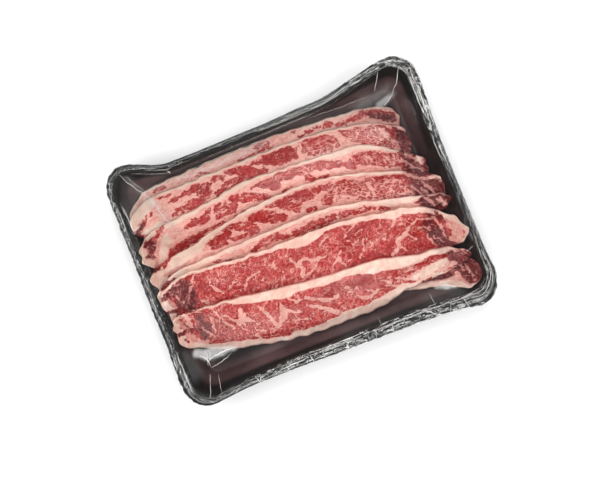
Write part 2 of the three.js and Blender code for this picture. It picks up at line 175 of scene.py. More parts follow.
NO_BAND = [(0, 0), (240, 0)]
SLICES = [
    {
        "node": "slice_1",
        "thick": 5.1,
        "shift": [(0, 1.6), (240, 1.6)],
        "seed": 11,
        "base": "fat",
        "lean": [
            ([2, 3], [(29, 24.5), (37, 23.5)]), ([1.2, 2.6, 1], [(61, 26.5), (66, 25.4), (71, 27)]),
            ([3.5, 5], [(111, 22), (118, 23.5)]),
            ([1, 1.6, 1.6, 1], [(95, 27), (105, 27.5), (116, 26), (122, 27)]),
            ([1, 1.4, 1], [(128, 20.6), (133, 21), (141, 22.4)]),
            ([1.4, 2.4, 1.4], [(143, 27.6), (150, 27), (158, 26.4)]),
            ([4.6, 4.6], [(163, 26.4), (166, 26.6)]),
            ([2, 2.8, 2.4], [(171, 30), (180, 30), (190, 31)]),
            ([4, 6, 6], [(191, 28.6), (200, 33), (210, 40)]),
        ],
        "back_band": [(0, 2), (180, 2), (195, 0.8), (240, 0.8)],
        "ends": (6, 0.4),
    },
    {
        "node": "slice_2",
        "thick": 5.2,
        "seed": 22,
        "base": "fat",
        "lean": [
            ([1.5, 2.6, 1.2], [(30, 29.4), (38, 31), (44, 29)]),
            ([1, 2.5, 3.5, 3], [(37, 36), (50, 34.6), (60, 35.4), (67, 34)]),
            ([6, 8, 5], [(58, 34), (63, 37), (67, 39.6)]), ([4, 2], [(66, 37), (72, 34)]),
            ([0.8, 1.4, 1], [(54, 40), (60, 42), (67, 43.6)]),
            ([3, 6, 7.6, 6, 2], [(37, 45.6), (43, 45), (50, 44.6), (57, 45), (63, 46.4)]),
            ([2.2, 3], [(76, 28.4), (76.6, 33)]), ([3, 3], [(73, 33), (80, 33.6)]),
            ([4, 7, 7, 6, 3], [(84, 31.4), (92, 33), (98, 36.4), (105, 40), (112, 42)]),
            ([3, 5.6, 6, 4, 2], [(72, 43.6), (80, 41.4), (88, 40.6), (96, 42.4), (108, 43.4)]),
            ([2, 3.4], [(104, 33), (110, 34)]),
            ([6, 11, 11, 8], [(114, 34), (122, 35.4), (131, 36), (136, 38)]),
            ([8, 13, 13, 9], [(143, 35), (150, 38.6), (159, 39.4), (165, 41)]),
            ([7, 11, 13, 11, 6], [(172, 36), (180, 40), (190, 46.6), (197, 53), (203, 60)]),
            ([1, 1.8, 1.2], [(192, 39.6), (199, 42), (205, 45.4)]),
            ([6, 10, 12], [(205, 48), (211, 54), (213, 62)]), ([3, 4, 3], [(5, 46), (8, 50), (9, 54)]),
            ([1.4, 2], [(22, 34), (21.4, 39)]), ([1.4, 2.4, 3], [(18, 39), (12, 46), (6, 49)]),
        ],
        "fat": [
            ([2, 2.4], [(40, 46.6), (41.4, 46.2)]), ([1.8, 2], [(46, 46.2), (47, 46.6)]),
            ([2, 3, 2.6], [(141, 33), (138.6, 38), (137, 44)]),
            ([3, 4, 4], [(166, 30), (168.6, 36), (170, 44)]),
            ([2.6, 2.6, 2, 1.6, 2], [(168, 32.4), (182, 34.4), (193, 37.4), (202, 40.4), (206, 46)]),
            ([1, 1.4, 1], [(199, 46), (201, 52), (204, 58)]),
        ],
        "cream": [
            ([3, 3.4], [(212.4, 48.4), (215, 51.6)]), ([4, 7, 6], [(12, 50), (18, 51), (25, 49)]),
            ([5, 11, 9], [(9, 41), (15, 36), (24, 30)]),
        ],
        "painted_shade_gaps": [
            ([3, 5, 4], [(4, 47), (7.6, 50), (9, 54)]), ([1, 1.8, 2.4], [(19, 39), (13, 45), (7, 49)]),
        ],
        "back_band": [(0, 3), (110, 2.6), (160, 2.2), (180, 2.6), (200, 1.4), (205, 0), (240, 0)],
        "ends": (5, -2),
    },
    {
        "node": "slice_3",
        "thick": 5.4,
        "seed": 33,
        "base": "fat",
        "lean": [
            ([2.4, 3.4, 2.4], [(10, 56), (11, 62), (10.6, 68)]), ([2, 2.6], [(15, 59), (20, 56)]),
            ([2, 5, 6.4, 6, 3.6, 1.4], [(19, 75), (25, 71), (33, 69.4), (42, 68), (50, 66.4), (57, 65)]),
            ([1.6, 5, 6.4], [(42, 58), (50, 57), (59, 57.4)]), ([3.4, 5], [(61, 53), (66, 54)]),
            ([4, 4.4], [(68, 52.4), (75, 54)]), ([6, 7, 7], [(68, 58), (74, 57.6), (80, 57)]),
            ([4, 6, 6, 3], [(81, 51), (90, 53.6), (99, 57), (106, 59.4)]),
            ([2, 3, 8, 9], [(98, 49), (104, 49.6), (110, 50.6), (114, 53)]),
            (
                [6, 7, 5, 7, 4, 5],
                [(117, 49.4), (130, 50.6), (142, 51.4), (152, 53.6), (162, 57), (170, 62)],
            ),
            ([4, 4.6], [(137, 57), (140, 60)]), ([3, 3], [(119, 60.4), (124, 61)]),
            ([3, 3.6], [(144, 62), (151, 62.6)]), ([8, 9], [(174, 58), (181, 60.6)]),
            ([8, 10, 8], [(184, 61), (192, 65.4), (200, 70)]),
            ([1.4, 2.4, 1.4], [(59, 65.4), (64, 64.2), (70, 65)]),
            ([1, 1.8, 1.2], [(74, 65.2), (83, 63.6), (91, 62)]),
            ([14, 22, 24], [(206, 66), (212, 72), (218, 80)]),
            ([3, 5, 3], [(11, 58), (11.6, 62), (10, 67)]),
        ],
        "fat": [
            ([1.4, 2, 2.6], [(66, 50.6), (64, 56), (61, 60.4)]), ([1, 1.4], [(66, 56.4), (74, 57.4)]),
            ([1.2, 1.8, 2, 2.4], [(208.7, 66), (212.5, 72), (215, 75), (217, 76)]),
            ([1.2, 2, 1.6, 1], [(204.4, 70.4), (208.7, 76), (214.2, 82), (216, 84)]),
            ([1.2, 1.6], [(206.4, 58), (209.8, 63)]), ([1, 1.4], [(182, 57), (185, 64)]),
        ],
        "cream": [
            ([3, 4, 3], [(216.4, 72), (217.6, 75), (217.4, 78)]),
            ([2, 2.4], [(214.6, 66), (216, 67.6)]),
            ([4, 7, 6, 4], [(27, 58), (22, 64), (18, 70), (14, 76)]),
        ],
        "painted_shade_gaps": [
            ([2, 3, 3, 2], [(11, 58), (18, 56.4), (24, 53), (29, 49)]),
            ([3, 5, 5, 3], [(10, 57), (12, 60), (12, 64), (9, 67)]),
        ],
        "back_band": [
            (0, 4), (44, 4), (60, 3), (75, 4), (88, 4.6), (104, 2.4), (118, 2), (140, 2.8), (160, 4.6),
            (178, 4), (190, 4.4), (202, 3), (207, 0), (240, 0),
        ],
        "ends": (5, -2),
    },
    {
        "node": "slice_4",
        "thick": 5.4,
        "seed": 44,
        "base": "fat",
        "lean": [
            ([0.6, 1.6, 1], [(5, 78.6), (12, 77.6), (18, 76)]),
            ([1.6, 3, 2], [(15, 80), (19, 76), (22, 73)]), ([3, 5, 4], [(15, 90), (19, 88), (22, 90)]),
            ([2, 3], [(36, 76), (40, 76.2)]),
            ([3, 6, 6, 4], [(51, 74), (58, 76), (64, 75.4), (70, 72.4)]),
            ([3, 4], [(55, 78.4), (65, 78.4)]),
            ([4, 7, 7, 5], [(74, 69.6), (80, 72.4), (86, 75), (89, 78)]),
            ([3, 3.6, 3.6], [(70, 78.6), (78, 79.2), (86, 79.2)]), ([2, 2.6], [(68, 69), (73, 68.6)]),
            ([4, 8, 7, 4], [(88, 69), (96, 70.6), (104, 75), (112, 77.6)]),
            ([2, 4, 8, 6], [(103, 66.2), (111, 67), (118, 70), (121, 75)]),
            ([5, 5, 4, 4, 3], [(118, 67), (130, 67.4), (142, 68), (154, 70), (168, 73.4)]),
            ([5, 4], [(125, 71.4), (136, 71)]), ([6, 6.6], [(143, 77), (148, 78.6)]),
            ([2.6, 3], [(129, 80), (135, 80)]),
            ([7, 11, 13, 14, 10], [(152, 75), (165, 79), (176, 83), (188, 88), (197, 95)]),
            ([4, 7, 8], [(178, 75), (188, 79), (198, 83)]),
            ([20, 26, 28], [(207, 84), (213, 92), (219, 100)]),
        ],
        "fat": [
            ([2, 2], [(137, 72), (136.4, 83)]), ([1.6, 1.4, 1.2], [(149, 81), (152, 75), (155, 70)]),
            ([1.6, 2.2], [(154, 78), (164, 84)]), ([2.4, 2], [(176, 78), (177, 87)]),
            ([1.4, 1.8, 2.2, 3], [(201, 78), (206.4, 84), (212, 88.2), (218.7, 90.4)]),
            ([1.2, 2, 1.6], [(204.2, 91), (208.7, 99), (212.5, 107)]),
            ([1.2, 2, 1.6], [(212, 90.4), (216, 97), (218.7, 103)]),
            ([1, 1.4, 1], [(209.8, 95), (213, 99.3), (211.6, 104)]),
        ],
        "cream": [([2.4, 4, 4.4], [(219, 90.4), (222.4, 91), (226, 93.4)])],
        "painted_shade_gaps": [
            ([1.6, 2.4, 2], [(3, 79), (10, 78), (16, 75.6)]),
            ([1.4, 3, 3, 2], [(15, 80), (17, 77), (20.4, 74), (25, 71)]),
            ([2, 5, 5, 3], [(13, 90.6), (17, 88), (22, 87.4), (27, 88.6)]),
        ],
        "shift": [(0, -1), (18, -2), (30, -3.2), (45, -3.4), (56, -1.6), (72, -2.4), (92, -1), (120, 0)],
        "back_band": [
            (0, 7), (30, 9), (45, 7), (60, 3.6), (75, 2.6), (90, 4), (104, 4.4), (118, 2.4), (140, 2),
            (165, 2), (178, 3.6), (200, 3), (206, 0), (240, 0),
        ],
        "ends": (8, -2),
    },
    {
        "node": "slice_5",
        "thick": 5.1,
        "seed": 55,
        "base": "fat",
        "lean": [
            ([0.8, 1.8, 1], [(50, 88), (57, 90.4), (64, 93)]),
            ([1, 2, 1], [(49, 86), (54, 83.6), (60, 85.4)]),
            ([2, 5, 5, 2], [(81, 91.4), (90, 89), (101, 89), (110, 92)]),
            ([1.6, 3], [(113, 89.4), (120, 91)]),
            ([3, 4.6, 4.4, 4, 2], [(114, 92.4), (128, 90.6), (142, 90.6), (155, 92), (173, 95.4)]),
            ([2, 4.4, 4.6, 2], [(119, 96), (128, 95.6), (138, 96.4), (144, 95.6)]),
            ([2, 3], [(178, 97.4), (183, 101)]), ([4, 5], [(14, 88), (20, 90)]),
            ([10, 18, 20], [(207, 101), (214, 106), (220, 110)]),
        ],
        "fat": [
            ([1.6, 1.6], [(148, 88), (147, 92)]),
            ([1.2, 1.6, 1.2], [(209, 100), (212, 105), (214, 110)]),
        ],
        "cream": [([3, 3.6], [(219, 107.4), (221.6, 111)])],
        "painted_shade_gaps": [([3, 5, 4], [(4, 91.6), (11, 91.6), (19, 90.6)])],
        "back_band": [
            (0, 6), (40, 5), (60, 4), (90, 3.4), (120, 3), (150, 3), (170, 4), (185, 6), (203, 4.6),
            (209, 1), (240, 0.4),
        ],
        "ends": (8, -2),
    },
    {
        "node": "slice_6",
        "thick": 5.1,
        "seed": 66,
        "base": "fat",
        "lean": [
            ([3, 5, 4], [(186, 158), (198, 160), (208, 160.6)]), ([2, 3], [(202, 156), (212, 158)]),
            ([14, 18, 14], [(218, 150), (222, 160), (224, 170)]),
        ],
        "fat": [
            ([1, 1.4], [(216, 156), (217, 162)]), ([0.8, 1.2], [(219.4, 157), (220.4, 165)]),
            ([0.8, 1], [(221, 166), (221.6, 171)]),
        ],
        "back_band": [(0, 3), (205, 3), (213, 0), (240, 0)],
        "front_band": [(0, 5), (190, 5), (210, 5.6), (218, 2), (224, 0), (240, 0)],
        "ends": (4, -2),
    },
    {
        "node": "slice_7",
        "thick": 5.5,
        "seed": 77,
        "base": "lean",
        "fat": [
            ([5, 7, 5], [(6, 99), (9, 104), (12, 109)]),
            ([1, 1.4, 1.2], [(17, 98), (17.4, 104), (19, 108.4)]), ([0.8, 1.2], [(16, 93.4), (22, 94)]),
            ([1, 1.8, 1.4], [(24, 108), (28, 101), (33, 94)]),
            ([0.8, 1.2, 0.8], [(27, 103), (31, 98), (35, 92)]),
            ([1.2, 1.8, 1], [(32, 110), (35, 113), (36.4, 117)]),
            ([1, 1.6, 1.8, 1], [(44, 97), (43.6, 104), (46, 108), (50, 112)]),
            ([1.4, 1], [(52, 97), (49, 102)]), ([0.8, 1.4, 1.2], [(54, 111), (58, 107.6), (63, 108)]),
            ([1, 1.4, 1.4, 1], [(64, 116), (67.4, 111), (73, 107.8), (81, 107)]),
            ([1.4, 1.6], [(79, 114), (84, 110)]), ([1, 1.4, 1], [(88, 106), (91.4, 105), (91, 110)]),
            ([1, 1.8], [(92, 121), (95.4, 114.6)]),
            ([1.4, 2, 2.6, 1.6], [(103.6, 107), (106.4, 113), (110, 117), (107, 123)]),
            ([1.8, 2.8, 2, 1.6], [(106, 114), (112, 110.6), (116, 112), (119, 115)]),
            ([1.4, 1.6, 1.4], [(107, 122.6), (114, 122), (119, 117.4)]),
            ([1.4, 1.6, 1.2], [(118, 114), (127, 114.6), (131, 110.6)]),
            ([1, 1.6, 1.2], [(115, 122), (120, 117), (124, 114)]),
            ([1, 1.6, 1.4], [(122, 110), (129, 104.6), (137, 101)]),
            ([1.2, 2, 1.6, 1], [(128, 126), (134, 120.6), (138, 117), (141, 112)]),
            ([1.8, 1.2], [(136, 119), (139, 127)]),
            ([1, 1.4, 1.6, 1.4], [(146, 107), (150, 104), (155, 101.6), (161, 100)]),
            ([1, 1.6, 1.2], [(147, 110), (150, 114.4), (154.4, 112.4)]),
            ([1, 1.4, 1], [(151, 125), (156, 120.4), (158, 112)]),
            ([1, 1.4, 0.8], [(160.6, 115), (163, 119), (163, 124)]),
            ([0.8, 1.2], [(166, 117), (173, 119)]), ([0.8, 1.2], [(168, 113.6), (175, 116)]),
            ([0.8, 1.2], [(153, 108.4), (159, 106)]),
            (
                [1.8, 3, 3, 2.4, 2, 2],
                [(173, 132), (179, 128.6), (181, 123.6), (187, 121), (192, 117.6), (198, 114.4)],
            ),
            ([1.8, 1.4, 1.8], [(198, 114.4), (204, 116.4), (210, 118)]),
            ([1.8, 1.6, 0.8], [(187, 121), (190, 124), (193, 128)]),
            ([1.6, 1], [(181, 127), (183.4, 133)]),
            ([1.4, 2.4, 3.4], [(176, 114), (181, 112), (185, 106.6)]),
            ([1, 1.6, 1], [(184, 112.6), (189.6, 114.4), (193, 112)]),
            ([2.4, 1.8, 1.4], [(198, 121), (202, 121), (205, 125)]),
            ([1.4, 1.6], [(202, 128), (203, 135)]), ([1, 1.6], [(206, 131), (211, 137)]),
            ([1.4, 1.6, 1.2], [(211, 118), (213, 126), (213, 135)]),
            ([1.4, 1.6], [(216, 119), (218.6, 127)]),
            ([6, 10, 10, 7], [(216, 113), (222, 121), (223.6, 130), (222, 139)]),
            ([2.4, 4.4], [(217, 137), (224, 143)]),
        ],
        "back_band": [
            (0, 3), (50, 2.6), (62, 3), (84, 3), (100, 4), (112, 8), (124, 8), (135, 3.4), (160, 4),
            (175, 4.4), (184, 7.4), (195, 5), (215, 5), (240, 6),
        ],
        "painted_shade_gaps": [
            ([2, 3, 2], [(4, 100), (9, 99.6), (14, 97)]),
            ([1.6, 2.4, 2.4, 1.4], [(4, 110), (12, 111), (20, 111.4), (30, 113.6)]),
            ([1, 1.6, 2.4, 2], [(212, 113), (216, 119), (217, 127), (215, 136)]),
        ],
        "ends": (5, 3),
    },
    {
        "node": "slice_8",
        "thick": 5.4,
        "seed": 88,
        "base": "lean",
        "lean": [
            ([1.6, 2], [(5, 128), (17, 129)]), ([0.8, 1.2], [(13.2, 117), (14, 125)]),
            ([2, 3, 2], [(184, 160), (188, 159), (192, 158)]),
            ([5, 9, 9], [(211, 149), (217, 151), (223, 154)]), ([2.4, 2.4], [(5, 128), (19, 129)]),
        ],
        "fat": [
            ([5, 6], [(10, 117), (13, 124)]), ([3.4, 4], [(17, 118), (17.4, 126)]),
            ([5, 6], [(12, 131), (16, 138)]), ([3.4, 4], [(15, 141), (23, 141)]),
            ([1.2, 1.6, 1], [(24, 130), (27, 135), (30, 139)]),
            ([1, 1.6, 1], [(33, 123), (34, 130), (32, 138)]),
            ([1, 1.6, 1], [(38, 121), (40, 126), (39, 131)]),
            ([1.2, 2, 2.6], [(44, 127), (49, 132.6), (53, 137)]),
            ([2, 5, 4.6], [(57, 127), (56, 132), (53, 136)]),
            ([4.6, 4.6, 1.6, 1], [(52, 136), (57, 135), (62, 139), (65, 143)]),
            ([1.2, 1.8, 1.4], [(41, 131), (45, 135.6), (47, 140)]),
            ([1.6, 2.6, 3, 2], [(70, 130), (73, 137), (74.6, 143), (77, 149)]),
            ([1.6, 4, 6, 4, 2.4], [(85.4, 134), (85, 140), (83, 144), (79, 147.6), (76, 150)]),
            ([2.6, 1.8, 1.4], [(86, 141), (93, 144.4), (98, 146)]),
            ([1.2, 2.4, 2.6], [(92, 133), (96.6, 137.6), (99.4, 137)]),
            ([2.4, 2.6], [(103, 137), (108.6, 140)]),
            ([2, 3, 2.4], [(111, 141), (118, 145), (126, 144.6)]),
            ([1.6, 2.6, 3.4, 3.6], [(103, 143.4), (109, 146.6), (115, 151), (121, 156)]),
            ([1, 1.4, 1], [(91, 149.6), (98, 151.6), (105, 150)]),
            ([1.8, 2.6, 2], [(60, 149), (62, 154), (66, 159)]), ([1.2, 1.8], [(60, 145.6), (67, 149)]),
            ([1, 1.6], [(131, 140.6), (136, 142)]), ([1.2, 1.6], [(132, 145), (141, 144)]),
            ([1, 1.6], [(145, 147.4), (150, 150.4)]),
            ([1.8, 2.4, 2.4, 1.6], [(139, 150), (144, 154), (150, 153.6), (154, 151)]),
            ([1, 1.6], [(158, 145.6), (165, 150)]), ([1, 1.6], [(159, 150), (168, 154)]),
            ([1.4, 2.2], [(169, 148), (177, 152)]), ([1, 1.6], [(176, 146.4), (184, 146.6)]),
            ([4, 8, 9, 9, 5], [(178, 152), (186, 153), (196, 152.4), (206, 152), (212, 153)]),
            ([3, 3], [(184, 155), (182, 160)]),
        ],
        "cream": [([3, 6, 6, 5, 2], [(181, 153), (190, 152.6), (199, 151), (207, 149.6), (212, 149)])],
        "painted_shade_gaps": [
            ([1.4, 2, 1.6, 1], [(4, 113), (14, 114), (24, 116), (34, 118.6)]),
            ([2.6, 3, 1.8], [(4, 128), (12, 128.4), (20, 129)]), ([1, 1.4], [(13.2, 118), (14, 125)]),
        ],
        "back_band": [
            (0, 3), (35, 2), (48, 2), (60, 6), (80, 7.4), (92, 8.8), (100, 6.8), (110, 5.6), (120, 7.2),
            (130, 6), (140, 5.6), (146, 6.4), (155, 10), (165, 9.6), (180, 9), (190, 6), (200, 4.4),
            (210, 4.4), (218, 1.6), (240, 0.6),
        ],
        "front_band": [
            (0, 4), (28, 5), (42, 6.6), (52, 6), (62, 4.4), (76, 4.2), (90, 5), (110, 5.4), (126, 7.4),
            (142, 6.6), (156, 7.4), (170, 6), (182, 3), (205, 2), (215, 0), (240, 0),
        ],
        "ends": (4, -1),
    },
]

# Where the lean of any slice is dark burgundy (the meat's own colour, and painted shade at the slices'
# ends), is densely marbled, or plain deep red
DARK = [
    ([14, 18, 24, 26, 22], [(216, 44), (215, 58), (216, 76), (217, 94), (217, 112)]),
    ([10, 12, 9], [(206, 122), (210, 133), (214, 142)]),
    ([15, 18, 18], [(217, 149), (221, 156), (222, 170)]),
    ([13, 17, 16], [(20, 91), (22, 99), (22, 108)]), ([4, 7, 7], [(5, 47), (10, 54), (14, 62)]),
    ([6, 7], [(14, 92), (15, 100)]), ([6, 8, 8], [(26, 122), (27, 129), (24, 136)]),
    ([5, 6], [(190, 160), (206, 162)]), ([4, 7, 8], [(196, 33), (206, 39), (213, 46)]),
    ([3, 4, 4], [(4, 49), (9, 48), (13, 45)]), ([5, 7, 5], [(10, 56), (11.6, 62), (10, 69)]),
    ([5, 7, 5], [(15, 90), (19, 88), (22, 90)]),
    ([12, 12, 12, 10], [(8, 46), (8, 70), (8, 100), (8, 130)]), ([4, 5], [(5, 128), (20, 129)]),
]
DENSE = [
    ([8, 14, 14], [(141, 38), (152, 42), (165, 43)]), ([9, 14, 16], [(176, 38), (190, 46), (202, 57)]),
    ([10, 14, 18, 16], [(150, 74), (165, 78), (182, 85), (197, 94)]), ([8, 10], [(180, 62), (200, 68)]),
    ([6, 10], [(34, 128), (50, 132)]), ([8, 10], [(60, 147), (104, 152)]),
    ([7, 8], [(150, 148), (176, 153)]),
]
PLAIN = [
    ([8, 14, 12], [(184, 131), (193, 130), (201, 131)]), ([8, 10], [(116, 34), (136, 34)]),
    ([6, 8], [(22, 72), (50, 67)]), ([5, 7], [(56, 35), (68, 38)]), ([6, 8], [(46, 57), (62, 56)]),
    ([7, 8], [(106, 52), (118, 54)]), ([6, 7], [(52, 76), (68, 75)]), ([7, 8], [(92, 71), (110, 77)]),
    ([7, 7], [(118, 136), (150, 139)]), ([8, 8], [(150, 107), (172, 106)]),
    ([8, 8], [(36, 101), (42, 106)]), ([7, 7], [(150, 127), (172, 129)]),
]

# Lumps at the ends of the slices: place, size across and to the front, and height
LUMPS = [
    (14, 36, 9, 7, 0.7), (17, 50, 7, 3.6, 0.8), (6, 60.5, 3, 3, 0.9), (20, 66, 5, 6, 0.6),
    (8, 72, 4, 3.6, 1.0), (8, 84, 5, 4.4, 1.1), (7, 96, 4, 3, 1.0), (9, 104, 4, 4, 1.0),
    (10, 117, 5, 3.4, 1.0), (13, 123, 5, 2.8, 0.8), (14, 134, 6, 5, 1.0), (18, 141, 5, 3, 0.6),
    (222, 121, 5, 5, 1.0), (223.5, 134, 4.5, 5, 1.0), (217.5, 75, 2.2, 3, 1.1),
    (224, 92, 2.6, 2.2, 1.2), (220.4, 109.6, 2.4, 2.2, 0.9), (214, 50, 2.2, 2.2, 0.9),
    (220, 161, 5, 9, 0.7),
]

# How far the film stands out from the rim beyond its clearance, at places (x, y) round it
FLARE = [
    (0, 14, 0.3), (0, 30, 0.4), (0, 55, 0.8), (0, 75, 1.0), (0, 100, 1.6), (0, 130, 1.4),
    (0, 150, 2.6), (1, 163, 2.9), (3, 174, 1.6), (9, 182, 0.7), (18, 184, 0.2), (40, 182, 0),
    (80, 182, 0), (110, 183, 0.8), (150, 183, 1.5), (190, 184, 1.9), (206, 184, 2.8),
    (218, 183, 4.6), (226, 181, 3.2), (232, 172, 1.0), (235, 158, 0.1), (235, 140, -0.3),
    (235, 100, -0.5), (235, 70, -0.5), (235, 50, 0.1), (235, 35, 0.6), (234, 20, 1.3),
    (229, 8, 0.8), (218, 2, 0.5), (195, 2, 0.6), (160, 8, 0.9), (120, 10, 0), (70, 10, 0),
    (46, 10, 0.3), (30, 4, 0.6), (13, 1, 1.2), (5, 5, 0.8),
]

# How whitish the crumpled film over the rim looks, partly as painted glints, at places (x, y) round it
RIM_GLARE = [
    (0, 14, 0.16), (0, 40, 0.24), (0, 80, 0.32), (0, 120, 0.24), (0, 150, 0.2), (3, 174, 0.2),
    (18, 184, 0.15), (40, 182, 0.2), (60, 182, 0.55), (110, 183, 0.7), (150, 183, 0.55),
    (190, 184, 0.45), (218, 183, 0.4), (232, 172, 0.16), (235, 140, 0.12), (235, 100, 0.14),
    (235, 70, 0.34), (235, 50, 0.8), (235, 25, 0.8), (229, 8, 0.5), (200, 3, 0.5), (188, 4, 0.3),
    (175, 6, 0.03), (110, 10, 0.02), (60, 10, 0.015), (44, 9, 0.03), (25, 3, 0.015), (8, 3, 0.05),
]

# How far in from its inner edge the film over the rim starts to crumple, at places (x, y)
RIM_START = [
    (0, 30, 3.2), (0, 100, 3.4), (0, 150, 2.8), (18, 184, 0.6), (60, 182, -0.4), (200, 183, -0.6),
    (232, 172, 0.4), (235, 100, 0.8), (235, 30, 0.6), (200, 3, 1.8), (120, 10, 2.4), (40, 8, 2.6),
    (8, 3, 3),
]

# How strongly the painted reflection of the meat and light shows on the slope of the tray, at places (x,
# y) round it
PAINTED_REFLECTION_SHARE = [
    (0, 20, 0.7), (0, 60, 0.3), (0, 120, 0.1), (0, 150, 0.5), (20, 184, 0.8), (60, 182, 1),
    (200, 183, 1), (225, 181, 0.3), (235, 150, 0.05), (235, 80, 0.05), (235, 60, 0.5), (235, 30, 1),
    (200, 3, 1), (40, 8, 1), (8, 3, 0.9),
]

# Milky patches of the film over the tray, partly painted reflections and glints: strength, softness,
# widths and points
HAZE_AND_REFLECTIONS = [
    (0.20, 2.5, [3, 4, 6, 6, 4], [(14, 5), (22, 22), (29, 36), (31, 46), (35, 58)]),
    (0.10, 4, [10, 16, 14], [(16, 14), (12, 30), (9, 40)]),
    (0.26, 2.2, [2, 3, 4, 4, 2], [(28, 23), (50, 23.6), (80, 24), (105, 23.6), (122, 23)]),
    (0.12, 3, [3, 4, 3], [(130, 23), (160, 24), (190, 28)]),
    (0.42, 2, [6, 9, 7, 2], [(15, 145), (21, 148.6), (30, 150), (43, 152)]),
    (0.12, 4, [12, 12], [(6, 146), (8, 158)]), (0.05, 4, [8, 10, 10], [(30, 16), (80, 17), (150, 17)]),
    (0.30, 2, [3, 5, 6], [(216, 24.6), (211, 27), (204, 29)]),
    (0.16, 4, [5, 8, 8], [(214, 20), (204, 23), (190, 25)]),
    (0.45, 1.6, [2.4, 3.6, 2], [(193, 164.6), (199, 166.4), (206, 169)]),
    (0.10, 4, [8, 10, 8], [(182, 170), (195, 172), (208, 174)]),
    (0.06, 4, [7, 7], [(120, 170), (180, 171)]),
]

# Sharp raised creases of the film over the tray, drawn milky white as painted glints: strength, radius
# and points
CREASES = [
    (0.66, 0.24, [(12, 4), (15, 11), (20, 19), (26, 27), (29, 37), (30.6, 46), (36, 53)]),
    (0.22, 0.16, [(16, 7), (22, 18), (30, 30)]), (0.45, 0.16, [(28, 48), (30, 58), (30, 64)]),
    (0.90, 0.42, [(20, 153.6), (26, 151.8), (34, 151.2), (44, 151.4)]),
    (0.85, 0.3, [(15, 147), (19, 150), (21, 154), (20.6, 158)]),
    (0.70, 0.24, [(23, 145), (24, 149), (22, 153.6)]),
    (0.60, 0.20, [(20.6, 158.6), (26, 158.4), (33, 156.6), (39, 154.4)]),
    (0.55, 0.20, [(21, 143.6), (21.6, 149), (19, 157)]),
    (0.45, 0.22, [(18.6, 162), (16, 170), (12.6, 179)]),
    (0.30, 0.18, [(24, 164), (22.6, 173), (21, 180)]), (0.60, 0.20, [(212, 6), (209, 12), (204, 19)]),
    (0.65, 0.20, [(227, 8), (222, 18), (215, 25.6)]),
    (0.60, 0.18, [(216, 25), (211, 28.6), (207, 30.4)]),
    (0.30, 0.18, [(186.6, 166), (187.6, 172), (188.6, 177)]),
    (0.20, 0.16, [(146.6, 168), (147.2, 176)]), (0.85, 0.28, [(45.6, 14.6), (46.4, 16.2), (46.8, 18)]),
    (0.22, 0.12, [(60, 20.4), (90, 19.8), (120, 20)]),
    (0.22, 0.12, [(150, 18.4), (175, 19.6), (200, 20)]),
    (0.40, 0.16, [(229, 146.6), (226, 147.6), (222, 150)]),
]


# Number helpers

def smooth(x, low, high):
    t = np.clip((x - low) / (high - low), 0, 1)
    return t * t * (3 - 2 * t)


class Waves:
    """Smooth unevenness within about -1 to 1: a sum of sine waves with seeded directions."""

    def __init__(self, seed, length, count=12, spread=0.45):
        draw = np.random.default_rng(seed)
        angle = draw.uniform(0, math.tau, count)
        turns = math.tau / (length * (1 + spread * draw.uniform(-1, 1, count)))
        self.kx = turns * np.cos(angle)
        self.ky = turns * np.sin(angle)
        self.phase = draw.uniform(0, math.tau, count)

    def __call__(self, x, y=0.0):
        waves = zip(self.kx, self.ky, self.phase)
        total = sum(np.sin(kx * x + ky * y + phase) for kx, ky, phase in waves)
        return total / math.sqrt(2 * len(self.kx))


def run_along(line):
    """How far along a line each of its points lies."""
    return np.concatenate([[0], np.cumsum(np.hypot(*np.diff(line, axis=0).T))])


def marks(x, y):
    """The scene's x and y as distances from the back left corner, to the right and the front."""
    return x - MARK_LEFT, MARK_BACK - y


def stroke_depth(x, y, widths, points):
    """How deep a point lies inside a stroke, in millimetres, negative outside it."""
    points = np.array(points, float)
    lengths = np.hypot(*np.diff(points, axis=0).T)
    run = np.concatenate([[0], np.cumsum(lengths)])
    evenly = np.linspace(0, run[-1], len(widths))
    best = np.full(np.shape(x), -1e3)
    for i, length in enumerate(lengths):
        (ax, ay), (bx, by) = points[i], points[i + 1]
        t = np.clip(((x - ax) * (bx - ax) + (y - ay) * (by - ay)) / length**2, 0, 1)
        away = np.hypot(x - ax - t * (bx - ax), y - ay - t * (by - ay))
        half = np.interp(run[i] + t * length, evenly, widths) / 2
        best = np.maximum(best, half - away)
    return best


def deepest(x, y, strokes, start=-1e3):
    best = np.full(np.shape(x), float(start))
    for widths, points in strokes:
        best = np.maximum(best, stroke_depth(x, y, widths, points))
    return best


# Mesh helpers

def placed(name, data):
    made = bpy.data.objects.new(name, data)
    bpy.context.scene.collection.objects.link(made)
    return made


def mesh_object(name, points, faces, attributes):
    mesh = bpy.data.meshes.new(name)
    mesh.from_pydata((points * MM).tolist(), [], faces)
    for label, values in attributes.items():
        kind = "FLOAT" if values.ndim == 1 else "FLOAT_VECTOR"
        layer = mesh.attributes.new(label, kind, "POINT")
        key = "value" if values.ndim == 1 else "vector"
        layer.data.foreach_set(key, values.astype(np.float32).ravel())
    mesh.validate()
    mesh.shade_smooth()
    return placed(name, mesh)


def loft_faces(rings, count, first=None, last=None):
    """Faces of a tube through rings of count points, closed by fans to the points given."""
    faces = []
    for r in range(rings - 1):
        a = r * count
        b = a + count
        for i in range(count):
            j = (i + 1) % count
            faces.append((a + i, a + j, b + j, b + i))
    end = (rings - 1) * count
    for i in range(count):
        j = (i + 1) % count
        if first is not None:
            faces.append((first, j, i))
        if last is not None:
            faces.append((last, end + i, end + j))
    return faces


# Height maps over the tray, one number for each square millimetre

COLUMNS = int(TRAY_LENGTH) + 5
ROWS = int(TRAY_WIDTH) + 5
MAP_LEFT = -(COLUMNS - 1) / 2
MAP_LOW = -(ROWS - 1) / 2


